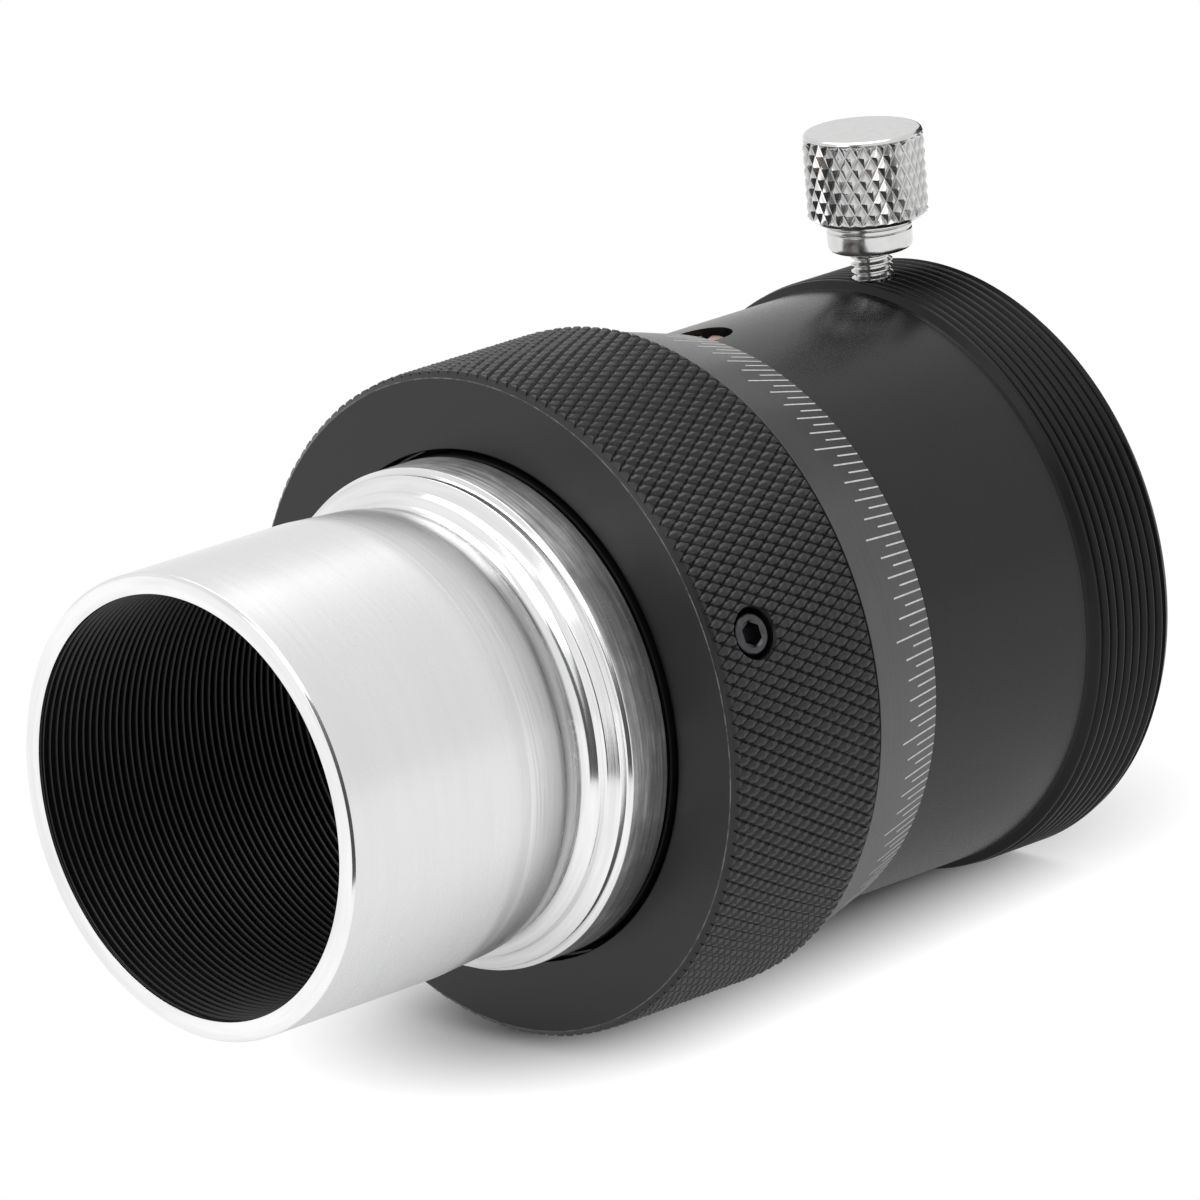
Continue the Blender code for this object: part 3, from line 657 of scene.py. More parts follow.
def aluminium_finish(settings, nose):
    """Turned aluminium: satin barrel, taper with scratch lines and painted shade that darkens it toward the
    cove, polished rim and steps, and a brushed flange.
    """
    finish = Finish("turned_aluminium", metallic=1.0)
    plain, brushed = settings.aluminium, settings.brushed
    here = finish.add("TexCoord", "Object")
    turned = finish.turned()
    axial = turned[0]
    fine = finish.lathe(turned, 9000.0, 2.0)
    broad = finish.lathe(turned, 700.0, 1.0)
    lines = finish.lathe(turned, 5200.0, 3.0, 5.0)
    cloud = finish.noise(here, 160.0, 4.0)
    curls = finish.hairlines(here, 700.0, 0.010)

    cove = nose.cove_end - nose.cove_radius
    rim = NOSE_FRONT + nose.rim_chamfer
    flange = finish.remap(axial, nose.flange_start - 0.02 * MM, nose.flange_start + 0.03 * MM)
    polished = finish.remap(axial, cove - 0.1 * MM, cove + 0.1 * MM)
    polished = finish.math("MAXIMUM", polished, finish.remap(axial, rim, rim - 0.04 * MM))
    taper = finish.remap(axial, -nose.undercut_start - 0.8 * MM, cove)

    satin = finish.blend(finish.remap(broad, 0.3, 0.7), plain, shade(plain, 0.97))
    # Painted shade: toward the cove the taper's tone falls to a much darker one, with real scratch lines in
    # it.
    scratched_and_shaded = finish.blend(finish.remap(lines, 0.42, 0.58), shade(plain, 0.22), shade(plain, 0.62))
    scratched_and_shaded = finish.blend(finish.times(curls, 0.6), scratched_and_shaded, shade(plain, 0.95))
    tone = finish.blend(finish.math("POWER", taper, 4.5), satin, scratched_and_shaded)
    # Darker streaks, more of them toward the cove: scratch lines and painted shade.
    streaks = finish.times(finish.remap(lines, 0.48, 0.60, 0.0, 0.4), finish.math("POWER", taper, 0.8))
    tone = finish.blend(streaks, tone, shade(plain, 0.6))
    rings = finish.remap(finish.lathe(turned, 2600.0, 0.3, 1.0), 0.60, 0.66, 0.0, 0.5)
    off_rings = finish.math("ABSOLUTE", finish.plus(axial, nose.undercut_start - 1.2 * MM))
    rings = finish.times(rings, finish.remap(off_rings, 0.8 * MM, 1.4 * MM, 1.0, 0.0))
    tone = finish.blend(rings, tone, shade(plain, 1.2))
    shine = finish.blend(finish.remap(broad, 0.35, 0.65), shade(plain, 1.18), plain)
    tone = finish.blend(polished, tone, shine)
    rubbed = finish.blend(finish.remap(lines, 0.44, 0.58), brushed, shade(brushed, 1.5))
    rubbed = finish.blend(finish.remap(cloud, 0.42, 0.60, 0.0, 0.6), rubbed, shade(brushed, 0.55))
    rubbed = finish.blend(finish.times(curls, 0.55), rubbed, plain)
    finish.tint(finish.blend(flange, tone, rubbed))

    worn = finish.remap(fine, 0.25, 0.75, 0.25, 0.33)
    worn = finish.mix(taper, worn, finish.remap(lines, 0.3, 0.7, 0.24, 0.40))
    worn = finish.mix(polished, worn, finish.remap(fine, 0.3, 0.7, 0.10, 0.17))
    finish.rough(finish.mix(flange, worn, finish.remap(lines, 0.3, 0.7, 0.34, 0.48)))
    finish.bump(finish.plus(finish.times(fine, 0.15), finish.times(lines, taper)), 0.005 * MM, 0.5)
    return finish.material


def black_finish(name, tone, roughness=(0.30, 0.40), specular=0.5, worn=None):
    """Satin black anodising, with a fine grain and faint turning lines. One edge may be made pale, as worn
    anodising and a painted edge highlight.
    """
    finish = Finish(name, specular=specular)
    turned = finish.turned()
    here = finish.add("TexCoord", "Object")
    grain = finish.noise(here, 5200.0, 2.0)
    cloud = finish.noise(here, 90.0, 4.0)
    lines = finish.lathe(turned, 5200.0, 1.5)
    base = finish.blend(finish.remap(cloud, 0.3, 0.7), shade(tone, 0.8), shade(tone, 1.25))
    base = finish.blend(finish.remap(lines, 0.35, 0.75, 0.0, 0.4), base, shade(tone, 1.7))
    # A thin pale line along the given edge, broken by noise: partly wear, partly painted highlight.
    if worn:
        off_edge = finish.away(*[finish.math("SUBTRACT", turned[i], worn[i]) for i in (0, 1)])
        edge_wear_and_highlight = finish.remap(off_edge, 0.02 * MM, 0.06 * MM, 1.0, 0.0)
        rubbed = finish.remap(finish.noise(here, 1300.0, 3.0), 0.40, 0.60, 0.25, 1.0)
        base = finish.blend(finish.times(edge_wear_and_highlight, rubbed), base, EDGE_WEAR_AND_HIGHLIGHT_TONE)
    finish.tint(base)
    finish.rough(finish.remap(grain, 0.3, 0.7, *roughness))
    finish.bump(finish.plus(grain, finish.times(lines, 0.6)), 0.004 * MM, 0.5)
    return finish.material


def metal_finish(name, tone, roughness, pose=None, stain=0.75, knurl=None):
    """Small turned metal part, with turning lines, darker stains and painted shade on the flanks of a knurl.
    """
    finish = Finish(name, metallic=1.0)
    turned = finish.turned(pose)
    here = finish.add("TexCoord", "Object")
    lines = finish.lathe(turned, 6000.0, 2.0)
    blotches = finish.noise(here, 1500.0, 5.0)
    base = finish.blend(finish.remap(blotches, 0.42, 0.72), tone, shade(tone, stain))
    # Painted shade: a knurl's flanks are darkened between root and crest, away from the knurl's ends.
    if knurl:
        root, crest, low, high = knurl
        painted_flank_shade = finish.remap(turned[1], root, crest, 1.0, 0.0)
        for part, start, end in (
            (turned[1], root + 0.02 * MM, root + 0.06 * MM),
            (turned[0], low, low + 0.3 * MM),
            (turned[0], high, high - 0.3 * MM),
        ):
            painted_flank_shade = finish.times(painted_flank_shade, finish.remap(part, start, end))
        base = finish.blend(finish.times(painted_flank_shade, 0.75), base, shade(tone, 0.25))
    finish.tint(base)
    finish.rough(finish.remap(lines, 0.25, 0.75, *roughness))
    finish.bump(finish.plus(lines, finish.times(blotches, 0.2)), 0.004 * MM, 0.5)
    return finish.material


def plastic_finish(name, tone):
    """Plain engineering plastic with a soft grain."""
    finish = Finish(name, roughness=0.5)
    here = finish.add("TexCoord", "Object")
    grain = finish.noise(here, 1400.0, 4.0)
    finish.tint(finish.blend(finish.remap(grain, 0.3, 0.7), tone, shade(tone, 0.85)))
    finish.rough(finish.remap(grain, 0.3, 0.7, 0.42, 0.6))
    finish.bump(grain, 0.01 * MM, 0.4)
    return finish.material


def paint_finish(name, tone):
    """Paint in the engraved marks, a little uneven."""
    finish = Finish(name, roughness=0.55)
    cloud = finish.noise(finish.add("TexCoord", "Object"), 2500.0, 3.0)
    finish.tint(finish.blend(finish.remap(cloud, 0.35, 0.75), tone, shade(tone, 0.7)))
    finish.rough(finish.remap(cloud, 0.3, 0.7, 0.45, 0.65))
    return finish.material


class FOCUSER_OT_nosepiece(bpy.types.Operator):
    """Build the bright nosepiece and the ridged black lining of its bore"""

    bl_idname = "focuser.nosepiece"
    bl_label = "Nosepiece"

    def execute(self, context):
        nose = context.scene.focuser_nose
        finishes = context.scene.focuser_finishes
        cove = nose.cove_end - nose.cove_radius
        corners = [
            (NOSE_FRONT + nose.rim_depth, nose.shell_bore, 0),
            (NOSE_FRONT + nose.rim_depth, nose.rim_bore, 0),
            (NOSE_FRONT, nose.rim_bore, 0.05),
            (NOSE_FRONT, nose.barrel_radius - nose.rim_chamfer, 0.04),
            (NOSE_FRONT + nose.rim_chamfer, nose.barrel_radius, 0.04),
            (-nose.undercut_start, nose.barrel_radius, 0.5),
            (-nose.undercut_start + 0.9 * MM, nose.undercut_middle + 0.27 * MM, 0.3),
            (cove - 1.6 * MM, nose.undercut_middle, 0.6),
            (cove - 0.3 * MM, nose.undercut_radius, 0.2),
        ]
        for step in range(9):
            angle = COVE_SWEEP * step / 8
            rise = nose.cove_radius * (1 - math.cos(angle))
            corners.append((cove + nose.cove_radius * math.sin(angle), nose.undercut_radius + rise, 0))
        corners += [
            (nose.first_step_start, nose.first_step, 0.08),
            (nose.first_step_end, nose.first_step, 0.16),
            (nose.second_step_start, nose.second_step, 0.08),
            (nose.second_step_end, nose.second_step, 0.10),
            (nose.flange_start, NOSE_FLANGE, 0.06),
            (nose.flange_depth, NOSE_FLANGE, 0.08),
            (nose.flange_depth, nose.spigot_radius, 0),
            (NOSE_REAR, nose.spigot_radius, 0.1),
            (NOSE_REAR, nose.shell_bore, 0),
        ]
        shell = ring_solid("nose_shell", FINE_COLUMNS, corners)
        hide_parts("nosepiece")
        dress(shell, "drawtube", aluminium_finish(finishes, nose))

        outer = nose.shell_bore - 0.01 * MM
        front = NOSE_FRONT + nose.rim_depth + 0.01 * MM
        ridges_start = front + 0.1 * MM
        lining = ridged_tube("nose_bore", [
            (NOSE_REAR, nose.ridge_crest + nose.ridge_depth), (NOSE_REAR, outer), (front, outer),
            (front, nose.rim_bore + 0.02 * MM), (ridges_start, nose.ridge_crest + 0.04 * MM),
        ], ridges_start, nose.ridge_crest, nose)
        black = black_finish("bore_black", finishes.bore)
        dress(lining, "drawtube", black, sharp=50)
        return {"FINISHED"}


class FOCUSER_OT_drawtube(bpy.types.Operator):
    """Build the inner tube that carries the nosepiece and the grip ring"""

    bl_idname = "focuser.drawtube"
    bl_label = "Drawtube"

    def execute(self, context):
        draw = context.scene.focuser_draw
        nose = context.scene.focuser_nose
        tube = ridged_tube("inner_tube", eased([
            (DRAW_REAR, draw.bore + nose.ridge_depth, 0),
            (DRAW_REAR, draw.tube_radius, 0.15),
            (draw.thrust_end, draw.tube_radius, 0),
            (draw.thrust_end, THRUST_RADIUS, 0.15),
            (draw.thrust_start, THRUST_RADIUS, 0.15),
            (draw.thrust_start, draw.journal_radius, 0),
            (DRAW_FRONT, draw.journal_radius, 0.15),
            (DRAW_FRONT, draw.socket_radius, 0),
            (draw.socket_floor, draw.socket_radius, 0),
            (draw.socket_floor, draw.bore, 0),
        ]), draw.socket_floor, draw.bore, nose)
        along, angle = radial_place("guide_screw")[:2]
        low, high = draw.bore - 1 * MM, draw.tube_radius + 1 * MM
        cut(tube, hole("guide_hole", along, angle, draw.guide_hole, low, high))
        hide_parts("drawtube")
        black = black_finish("inner_black", context.scene.focuser_finishes.bore, (0.5, 0.65), 0.15)
        dress(tube, "drawtube", black, sharp=50)
        return {"FINISHED"}


class FOCUSER_OT_guide_screw(bpy.types.Operator):
    """Build the slotted guide screw that rides in the housing's slot"""

    bl_idname = "focuser.guide_screw"
    bl_label = "Guide Screw"

    def execute(self, context):
        screws = context.scene.focuser_screws
        along, angle, low, high = radial_place("guide_screw")
        pose = upright(along, angle)
        screw = pin("guide_pin", PIN_COLUMNS, [
            (low, screws.stem_radius - STEM_CHAMFER, 0),
            (low + STEM_CHAMFER, screws.stem_radius, 0),
            (screws.guide_seat, screws.stem_radius, 0),
            (screws.guide_seat, screws.guide_head, 0.1),
            (high, screws.guide_head, 0.22),
            (high, 0.5 * MM, 0),
        ], pose)
        shape = bmesh.new()
        bmesh.ops.create_cube(shape, size=1)
        slot_size = (3 * screws.guide_head, screws.slot_width, 2 * screws.slot_depth)
        bmesh.ops.scale(shape, verts=shape.verts, vec=slot_size)
        bmesh.ops.rotate(shape, verts=shape.verts, matrix=Matrix.Rotation(screws.slot_turn, 3, "Z"))
        bmesh.ops.translate(shape, verts=shape.verts, vec=(along, 0, high))
        bmesh.ops.rotate(shape, verts=shape.verts, matrix=Matrix.Rotation(angle, 3, "X"))
        mesh = bpy.data.meshes.new("driver_slot")
        shape.to_mesh(mesh)
        shape.free()
        cut(screw, linked("driver_slot", mesh))
        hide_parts("guide_screw")
        bronze = metal_finish("bronze_metal", context.scene.focuser_finishes.bronze, (0.28, 0.42), pose)
        dress(screw, "drawtube", bronze)
        return {"FINISHED"}


class FOCUSER_OT_grip_ring(bpy.types.Operator):
    """Build the black grip ring with its diamond knurl and its screw holes"""

    bl_idname = "focuser.grip_ring"
    bl_label = "Grip Ring"

    def execute(self, context):
        grip = context.scene.focuser_grip
        band = GRIP_RADIUS - grip.groove_depth
        knurl_start = GRIP_FRONT + grip.chamfer + grip.relief
        ring = Turning(2 * grip.diamonds)
        rings = ring.run(eased([
            (GRIP_REAR, band, 0),
            (GRIP_REAR, grip.cavity, 0),
            (GRIP_FRONT + grip.front_wall, grip.cavity, 0),
            (GRIP_FRONT + grip.front_wall, grip.bore, 0),
            (GRIP_FRONT, grip.bore, 0.12),
            (GRIP_FRONT, band - grip.chamfer, 0.03),
            (GRIP_FRONT + grip.chamfer, band, 0),
            (knurl_start, band, 0),
        ]))
        ring.knurl(
            rings[-1], rings[0], (knurl_start, GRIP_REAR), grip.rows,
            (GRIP_RADIUS, band, GRIP_RADIUS - grip.middle_depth), grip.flat_share, grip.ramp, grip.peak,
            random.Random(7),
        )
        ring = ring.finish("knurled_grip")
        holes = []
        for number in LOCKING_SCREWS:
            along, angle = radial_place(f"grub_screw_{number}")[:2]
            holes.append(pin(f"screw_hole_{number}", HOLE_COLUMNS, [
                (grip.cavity - 1 * MM, grip.hole_radius, 0),
                (band - 0.05 * MM, grip.hole_radius, 0),
                (GRIP_RADIUS + 0.1 * MM, grip.hole_radius + grip.hole_flare, 0),
            ], upright(along, angle)))
        cut(ring, *holes)
        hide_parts("grip_ring")
        black = context.scene.focuser_finishes.black
        # Its front edge gets a thin pale line: worn anodising and a painted edge highlight.
        black = black_finish("grip_black", black, worn=(GRIP_FRONT, band - grip.chamfer))
        dress(ring, "focus_ring", black, sharp=8)
        return {"FINISHED"}


class FOCUSER_OT_scale_ring(bpy.types.Operator):
    """Build the grey scale cone and its marks"""

    bl_idname = "focuser.scale_ring"
    bl_label = "Scale Ring"

    def execute(self, context):
        scale = context.scene.focuser_scale
        finishes = context.scene.focuser_finishes
        cone = ring_solid("scale_skirt", SCALE_COLUMNS, [
            (SCALE_FRONT, scale.bore, 0),
            (SCALE_FRONT, SCALE_RADIUS, 0.08),
            (SCALE_REAR, scale.rear_radius, 0.08),
            (SCALE_REAR, scale.bore, 0),
        ])
        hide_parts("scale_ring")
        grey = black_finish("scale_grey", finishes.scale, (0.28, 0.36))
        dress(cone, "focus_ring", grey)

        def height(axial):
            share = (axial - SCALE_FRONT) / (SCALE_REAR - SCALE_FRONT)
            return SCALE_RADIUS + share * (scale.rear_radius - SCALE_RADIUS)

        marks = Turning(1)
        end = SCALE_REAR - 0.07 * MM
        for mark in range(scale.divisions):
            middle = scale.first_angle + TURN * mark / scale.divisions
            length = scale.short_mark
            if mark % 10 == 0 and mark <= scale.divisions - 10:
                length = scale.long_mark
            elif mark % 2 == 0:
                length = scale.medium_mark
            corners = []
            for sink in (0.05 * MM, -0.008 * MM):
                for axial, aside in ((end - length, -1), (end - length, 1), (end, 1), (end, -1)):
                    radius = height(axial) - sink
                    angle = middle + aside * scale.mark_width / 2 / radius
                    corners.append(marks.place(axial, radius, angle / TURN))
            low, top = corners[:4], corners[4:]
            marks.face(*reversed(low))
            marks.face(*top)
            for i in range(4):
                after = (i + 1) % 4
                marks.face(low[i], low[after], top[after], top[i])
        marks = marks.finish("scale_marks")
        dress(marks, "focus_ring", paint_finish("mark_paint", finishes.mark))
        return {"FINISHED"}


class FOCUSER_OT_hidden_pieces(bpy.types.Operator):
    """Give the nut, the thrust washers and the clamp tip their finishes"""

    bl_idname = "focuser.hidden_pieces"
    bl_label = "Nut, Washers and Tip"

    def execute(self, context):
        finishes = context.scene.focuser_finishes
        black = black_finish("black_anodising", finishes.black)
        washer = plastic_finish("washer_plastic", finishes.washer)
        tip = plastic_finish("tip_plastic", finishes.tip)
        for node, material in (
            ("helicoid_nut", black), ("front_thrust_washer", washer), ("rear_thrust_washer", washer),
            ("clamp_tip", tip),
        ):
            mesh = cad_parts[node].data
            mesh.materials.clear()
            mesh.materials.append(material)
        return {"FINISHED"}


class FOCUSER_OT_grub_screws(bpy.types.Operator):
    """Build the hex socket screws that lock the grip ring"""

    bl_idname = "focuser.grub_screws"
    bl_label = "Locking Screws"

    def execute(self, context):
        screws = context.scene.focuser_screws
        steel = metal_finish("blackened_steel", context.scene.focuser_finishes.steel, (0.25, 0.4))
        for number in LOCKING_SCREWS:
            along, angle, low, high = radial_place(f"grub_screw_{number}")
            pose = upright(along, angle)
            hex_radius = screws.hex_across / 2 / math.cos(math.pi / 6)
            screw = pin(f"locking_screw_{number}", PIN_COLUMNS, [
                (low, screws.stem_radius - STEM_CHAMFER, 0),
                (low + STEM_CHAMFER, screws.stem_radius, 0),
                (high - 0.18 * MM, screws.stem_radius, 0.08),
                (high, screws.stem_radius - 0.2 * MM, 0.08),
                (high, 0.98 * MM, 0),
            ], pose)
            socket = pin(f"hex_socket_{number}", 6, [
                (high - screws.hex_depth, hex_radius, 0), (high + 0.5 * MM, hex_radius, 0),
            ], pose)
            lead_in = pin(f"hex_lead_{number}", HOLE_COLUMNS, [
                (high - 0.12 * MM, hex_radius - 0.04 * MM, 0), (high + 0.1 * MM, hex_radius + 0.18 * MM, 0),
            ], pose)
            cut(screw, socket, lead_in)
            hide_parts(f"grub_screw_{number}")
            dress(screw, "focus_ring", steel)
        return {"FINISHED"}


class FOCUSER_OT_body_tube(bpy.types.Operator):
    """Build the housing tube with its three-start helicoid and its guide slot"""

    bl_idname = "focuser.body_tube"
    bl_label = "Housing Tube"

    def execute(self, context):
        house = context.scene.focuser_housing
        tube = Turning(FINE_COLUMNS)
        rings = tube.run(eased([
            (house.neck_front, house.root_radius, 0),
            (house.neck_front, house.neck_radius, 0.1),
            (house.tube_front, house.neck_radius, 0),
            (house.tube_front, TUBE_RADIUS, 0.12),
            (TUBE_REAR, TUBE_RADIUS, 0.04),
            (TUBE_REAR, house.pocket_radius, 0),
            (house.pocket_front, house.pocket_radius, 0),
            (house.pocket_front, house.bore, 0),
            (TUBE_FRONT, house.bore, 0.1),
            (TUBE_FRONT, house.root_radius, 0),
        ]))
        pitch = house.lead / house.starts
        root, crest = house.root_radius, house.crest_radius
        foot, side = house.root_half / pitch, house.ridge_half / pitch
        tube.thread(
            rings[-1], rings[0], (TUBE_FRONT, house.neck_front),
            [(-foot, root), (-side, crest), (side, crest), (foot, root)],
            pitch, house.starts, house.first_ridge,
            lambda axial, radius: min(radius, root + axial - TUBE_FRONT),
        )
        tube = tube.finish("focus_tube")
        outline = []
        for middle, first in ((house.slot_rear, -math.pi / 2), (house.slot_front, math.pi / 2)):
            for step in range(25):
                angle = first + math.pi * step / 24
                along = middle + house.slot_radius * math.cos(angle)
                outline.append((along, house.slot_radius * math.sin(angle)))
        turned = Matrix.Rotation(radial_place("guide_screw")[1], 3, "X")
        slot = Turning(len(outline))
        low, high = house.bore - 2 * MM, TUBE_RADIUS + 1 * MM
        slot.points = [tuple(turned @ Vector((x, y, z))) for z in (low, high) for x, y in outline]
        below, above = range(len(outline)), range(len(outline), 2 * len(outline))
        slot.band(below, above)
        slot.cap(below)
        slot.cap(above)
        cut(tube, slot.finish("guide_slot"))
        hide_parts("body_tube")
        black = black_finish("tube_black", context.scene.focuser_finishes.black, (0.24, 0.30), 0.38)
        dress(tube, "housing", black)
        return {"FINISHED"}


class FOCUSER_OT_eyepiece_holder(bpy.types.Operator):
    """Build the rear collar with its fine thread and the eyepiece socket"""

    bl_idname = "focuser.eyepiece_holder"
    bl_label = "Eyepiece Holder"

    def execute(self, context):
        collar = context.scene.focuser_collar
        start = collar.collar_front + collar.collar_lead
        end = HOLDER_REAR - collar.rear_chamfer
        root = THREAD_RADIUS - collar.thread_depth
        holder = Turning(FINE_COLUMNS)
        rings = holder.run(eased([
            (end, root, 0),
            (HOLDER_REAR, root - 0.1 * MM, 0.06),
            (HOLDER_REAR, collar.socket_radius + collar.mouth_chamfer, 0.08),
            (HOLDER_REAR - collar.mouth_chamfer, collar.socket_radius, 0.08),
            (collar.socket_floor, collar.socket_radius, 0),
            (collar.socket_floor, collar.lip_radius, 0.1),
            (HOLDER_FRONT, collar.lip_radius, 0.1),
            (HOLDER_FRONT, collar.spigot_radius, 0.1),
            (collar.collar_front, collar.spigot_radius, 0),
            (collar.collar_front, TUBE_RADIUS, 0.03),
            (collar.collar_front + 0.25 * MM, TUBE_RADIUS + 0.02 * MM, 0.05),
            (start - 0.3 * MM, THREAD_RADIUS - 0.1 * MM, 0.08),
            (start - 0.1 * MM, THREAD_RADIUS - 0.06 * MM, 0.08),
            (start, root, 0),
        ]))
        profile = [(0.0, root)]
        profile += [(share, root + rise * collar.thread_depth) for share, rise in THREAD_FLANK]
        holder.thread(
            rings[-1], rings[0], (start, end), profile, collar.pitch, 1, start,
            lambda axial, radius: min(radius, root + 3 * (axial - start), root + 1.2 * (end - axial)),
        )
        holder = holder.finish("rear_collar")
        along, angle = radial_place("thumbscrew")[:2]
        low, high = collar.lip_radius, THREAD_RADIUS + 1 * MM
        cut(holder, hole("clamp_hole", along, angle, collar.clamp_hole, low, high))
        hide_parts("eyepiece_holder")
        black = black_finish("collar_black", context.scene.focuser_finishes.black, (0.28, 0.36), 0.25)
        dress(holder, "housing", black, sharp=40)
        return {"FINISHED"}


class FOCUSER_OT_thumbscrew(bpy.types.Operator):
    """Build the clamp thumbscrew with its knurled head and threaded stem"""

    bl_idname = "focuser.thumbscrew"
    bl_label = "Thumbscrew"

    def execute(self, context):
        screws = context.scene.focuser_screws
        along, angle, low, high = radial_place("thumbscrew")
        pose = upright(along, angle)
        head, neck, underside = screws.head_radius, screws.neck_radius, screws.head_low
        screw = Turning(2 * screws.diamonds)
        band = head - screws.knurl_depth
        root = screws.stem_radius - 0.26 * MM
        stem_end = screws.neck_low - 0.12 * MM
        knurl_low = underside + 0.25 * MM
        knurl_high = high - 0.3 * MM
        top = screw.run(eased([
            (knurl_high, band, 0),
            (knurl_high + 0.02 * MM, head - 0.08 * MM, 0.02),
            (high - 0.12 * MM, head - 0.12 * MM, 0.1),
            (high, head - 0.3 * MM, 0.08),
            (high, 1.2 * MM, 0),
            (high, 0.2 * MM, 0),
        ]))
        screw.cap(top[-1])
        outline = [
            (knurl_low, band, 0),
            (underside, band - 0.2 * MM, 0.08),
            (underside, neck, 0.03),
        ]
        for first, floor, last, depth in NECK_GROOVES:
            outline += [
                (underside - first, neck, 0.03),
                (underside - floor, neck - depth, 0.02),
                (underside - last, neck, 0.03),
            ]
        outline += [
            (screws.neck_low + 0.2 * MM, neck - 0.03 * MM, 0.3),
            (screws.neck_low, neck - 0.4 * MM, 0.2),
            (screws.neck_low, screws.stem_radius + 0.1 * MM, 0.05),
            (stem_end, root, 0),
        ]
        rings = screw.run(eased(outline))
        screw.knurl(
            rings[0], top[0], (knurl_low, knurl_high), screws.rows, (head, band, band),
            screws.flat_share, screws.ramp, screws.peak, random.Random(3),
        )
        bottom = screw.ring(low, root)
        screw.thread(
            bottom, rings[-1], (low, stem_end),
            [(0.0, root), (0.18, root), (0.5, screws.stem_radius), (0.64, screws.stem_radius), (0.96, root)],
            screws.stem_pitch, 1, low, lambda axial, radius: min(radius, root + axial - low),
        )
        screw.cap(bottom)
        screw = screw.finish("clamp_thumbscrew", pose)
        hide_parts("thumbscrew")
        # The finish paints shade on the flanks of the head's knurl.
        nickel = metal_finish(
            "nickel_plate", context.scene.focuser_finishes.nickel, (0.12, 0.20), pose, 0.92,
            (band, head - 0.08 * MM, knurl_low, knurl_high),
        )
        dress(screw, "thumbscrew", nickel, sharp=12)
        return {"FINISHED"}


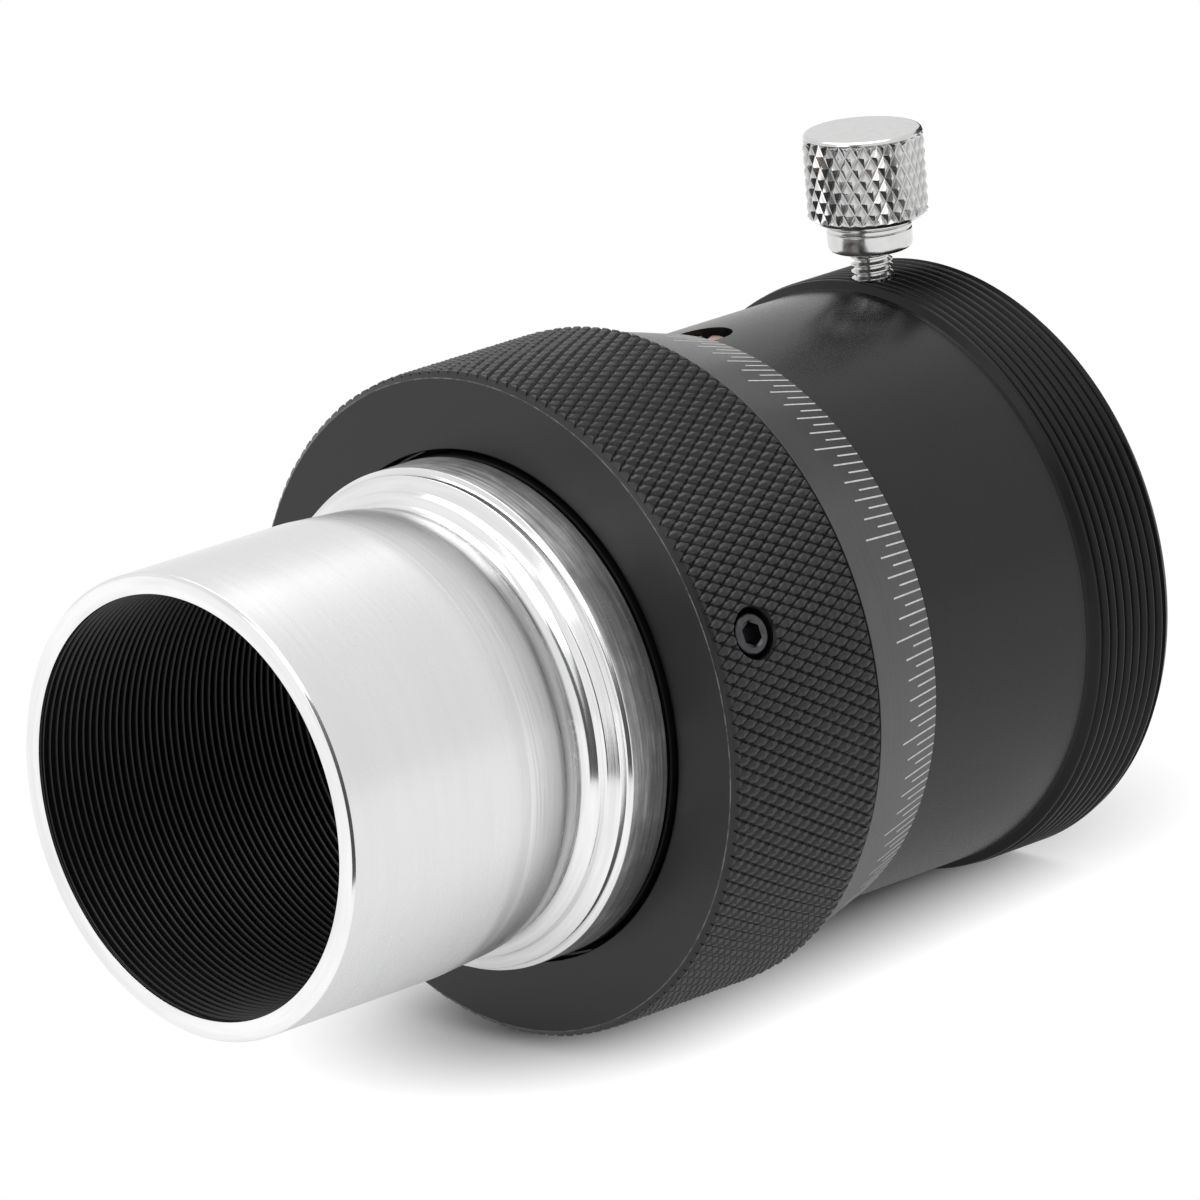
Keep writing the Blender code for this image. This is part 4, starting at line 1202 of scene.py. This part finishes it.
class FOCUSER_OT_studio(bpy.types.Operator):
    """Build the floor, the lamps, the sky and the camera"""

    bl_idname = "focuser.studio"
    bl_label = "Studio"

    def execute(self, context):
        scene = context.scene
        studio = scene.focuser_studio
        scene.view_settings.view_transform = "Standard"
        self.build_floor(studio, scene.focuser_collar.rear_chamfer)
        self.build_sky(scene, studio)
        self.build_lamp("overhead_lamp", studio.overhead, 0.55, (0.05, 0.10, 0.55))
        self.build_lamp("side_lamp", studio.side, 0.40, (-0.45, -0.10, 0.30))
        black = plastic_finish("card_black", CARD_TONE)
        forward = Vector((math.sin(studio.card), -math.cos(studio.card), 0))
        aside = Vector((-forward.y, forward.x, 0))
        self.build_card("front_card", black, [
            forward * distance + aside * half * side + Vector((0, 0, height))
            for distance, half, height in ((0.06, 0.014, -0.021), (0.50, 0.11, 0.34)) for side in (-1, 1)
        ])
        self.build_card("rear_card", black, [
            (HOLDER_REAR + 2 * MM, across * MM, height * MM) for across in (-2, 12) for height in (23.2, 32)
        ])
        self.build_card("right_card", black, [
            (0.25, across, height) for across in (-0.03, 0.13) for height in (0.015, 0.14)
        ])
        self.build_camera(scene, studio)
        return {"FINISHED"}

    def sheet(self, name, corners, material):
        """A flat sheet between two edges of two corners each."""
        mesh = bpy.data.meshes.new(name)
        mesh.from_pydata(corners, [], [(0, 1, 3, 2)])
        mesh.materials.append(material)
        return linked(name, mesh)

    def build_floor(self, studio, chamfer):
        """A sheet of paper that touches the grip ring and the rear collar from below."""
        slope = (GRIP_RADIUS - THREAD_RADIUS) / (HOLDER_REAR - chamfer - GRIP_REAR)
        sides = (-FLOOR_HALF, FLOOR_HALF)
        corners = [(x, y, -GRIP_RADIUS - 0.02 * MM + slope * (x - GRIP_REAR)) for y in sides for x in sides]
        floor = self.sheet("paper_floor", corners, self.paper(studio.floor))

    def paper(self, tone):
        """Paper that shows the shade close to the focuser and is plain white away from it."""
        finish = Finish("paper", roughness=0.9, specular=0.0)
        here = finish.add("TexCoord", "Object")
        fibre = finish.noise(here, 700.0, 3.0)
        finish.tint(finish.blend(finish.remap(fibre, 0.3, 0.7), tone, shade(tone, 0.995)))
        x, y = finish.split(here)[:2]
        nearest = finish.math("MINIMUM", finish.math("MAXIMUM", x, SHADE_FRONT), SHADE_REAR)
        off = finish.away(finish.math("SUBTRACT", x, nearest), finish.math("SUBTRACT", y, SHADE_ASIDE))
        rays = finish.tree.nodes.new("ShaderNodeLightPath").outputs
        bare = finish.math("POWER", finish.remap(off, 5.6 * MM, 18 * MM), 1.25)
        seen = finish.times(bare, rays["Is Camera Ray"])
        mirrored = finish.times(finish.remap(off, 0.0, 40 * MM), rays["Is Glossy Ray"])
        share = finish.math("MAXIMUM", seen, mirrored)
        white = finish.add("Emission", "Emission", (1, 1, 1, 1), 1.0)
        mixed = finish.add("MixShader", "Shader", share, finish.shader.outputs[0], white)
        finish.feed(finish.tree.nodes["Material Output"].inputs["Surface"], mixed)
        return finish.material

    def build_card(self, name, black, corners):
        """A dark card that only reflections see. It draws dark lines and patches on shiny surfaces."""
        card = self.sheet(name, corners, black)
        for kind in ("camera", "diffuse", "transmission", "volume_scatter", "shadow"):
            setattr(card, f"visible_{kind}", False)

    def build_sky(self, scene, studio):
        """White for the camera, a little softer in reflections and softest as light on the object."""
        world = bpy.data.worlds.new("soft_sky")
        world.use_nodes = True
        tree = world.node_tree
        rays = tree.nodes.new("ShaderNodeLightPath")
        strength = None
        for ray, value in (("Is Glossy Ray", studio.mirrored), ("Is Camera Ray", 1.0)):
            level = tree.nodes.new("ShaderNodeMix")
            level.inputs["A"].default_value = studio.sky
            level.inputs["B"].default_value = value
            tree.links.new(rays.outputs[ray], level.inputs["Factor"])
            if strength:
                tree.links.new(strength, level.inputs["A"])
            strength = level.outputs["Result"]
        background = tree.nodes["Background"]
        background.inputs["Color"].default_value = (1, 1, 1, 1)
        tree.links.new(strength, background.inputs["Strength"])
        scene.world = world

    def build_lamp(self, name, power, width, place):
        lamp = bpy.data.lights.new(name, "AREA")
        lamp.energy = power
        lamp.size = width
        holder = linked(name, lamp)
        holder.location = place
        holder.rotation_euler = (LAMP_AIM - Vector(place)).to_track_quat("-Z", "Y").to_euler()

    def build_camera(self, scene, studio):
        azimuth, elevation, roll = studio.azimuth, studio.elevation, studio.roll
        flat = math.cos(elevation)
        back = Vector((math.sin(azimuth) * flat, -math.cos(azimuth) * flat, math.sin(elevation)))
        level = Vector((math.cos(azimuth), math.sin(azimuth), 0))
        right = level * math.cos(roll) + back.cross(level) * math.sin(roll)
        up = back.cross(right)
        lens = bpy.data.cameras.new("photo_camera")
        lens.lens = studio.lens
        lens.sensor_width = 36
        lens.clip_end = 10
        camera = linked("photo_camera", lens)
        pose = Matrix((right, up, back)).transposed().to_4x4()
        pose.translation = Vector(studio.aim) + back * studio.distance
        camera.matrix_world = pose
        scene.camera = camera


class FOCUSER_PT_panel(bpy.types.Panel):
    """Buttons that build the focuser piece by piece, and the sizes that they use"""

    bl_idname = "FOCUSER_PT_panel"
    bl_label = "Helical Focuser"
    bl_space_type = "VIEW_3D"
    bl_region_type = "UI"
    bl_category = "Focuser"

    def draw(self, context):
        for operator in OPERATORS:
            self.layout.operator(operator.bl_idname)
        for name, group in SETTINGS.items():
            box = self.layout.box()
            box.label(text=name.replace("focuser_", "").capitalize())
            for setting in group.__annotations__:
                box.prop(getattr(context.scene, name), setting)


SETTINGS = {
    "focuser_nose": NosepieceSettings,
    "focuser_draw": DrawtubeSettings,
    "focuser_grip": GripSettings,
    "focuser_scale": ScaleSettings,
    "focuser_housing": HousingSettings,
    "focuser_collar": CollarSettings,
    "focuser_screws": ScrewSettings,
    "focuser_finishes": FinishSettings,
    "focuser_studio": StudioSettings,
}

OPERATORS = (
    FOCUSER_OT_nosepiece,
    FOCUSER_OT_drawtube,
    FOCUSER_OT_guide_screw,
    FOCUSER_OT_grip_ring,
    FOCUSER_OT_scale_ring,
    FOCUSER_OT_hidden_pieces,
    FOCUSER_OT_grub_screws,
    FOCUSER_OT_body_tube,
    FOCUSER_OT_eyepiece_holder,
    FOCUSER_OT_thumbscrew,
    FOCUSER_OT_studio,
)


def register():
    for name, group in SETTINGS.items():
        bpy.utils.register_class(group)
        setattr(bpy.types.Scene, name, bpy.props.PointerProperty(type=group))
    for operator in OPERATORS:
        bpy.utils.register_class(operator)
    bpy.utils.register_class(FOCUSER_PT_panel)


def unregister():
    bpy.utils.unregister_class(FOCUSER_PT_panel)
    for operator in reversed(OPERATORS):
        bpy.utils.unregister_class(operator)
    for name, group in reversed(SETTINGS.items()):
        delattr(bpy.types.Scene, name)
        bpy.utils.unregister_class(group)


def main():
    register()
    bpy.ops.focuser.nosepiece()
    bpy.ops.focuser.drawtube()
    bpy.ops.focuser.guide_screw()
    bpy.ops.focuser.grip_ring()
    bpy.ops.focuser.scale_ring()
    bpy.ops.focuser.hidden_pieces()
    bpy.ops.focuser.grub_screws()
    bpy.ops.focuser.body_tube()
    bpy.ops.focuser.eyepiece_holder()
    bpy.ops.focuser.thumbscrew()
    bpy.ops.focuser.studio()


if __name__ == "__main__":
    main()
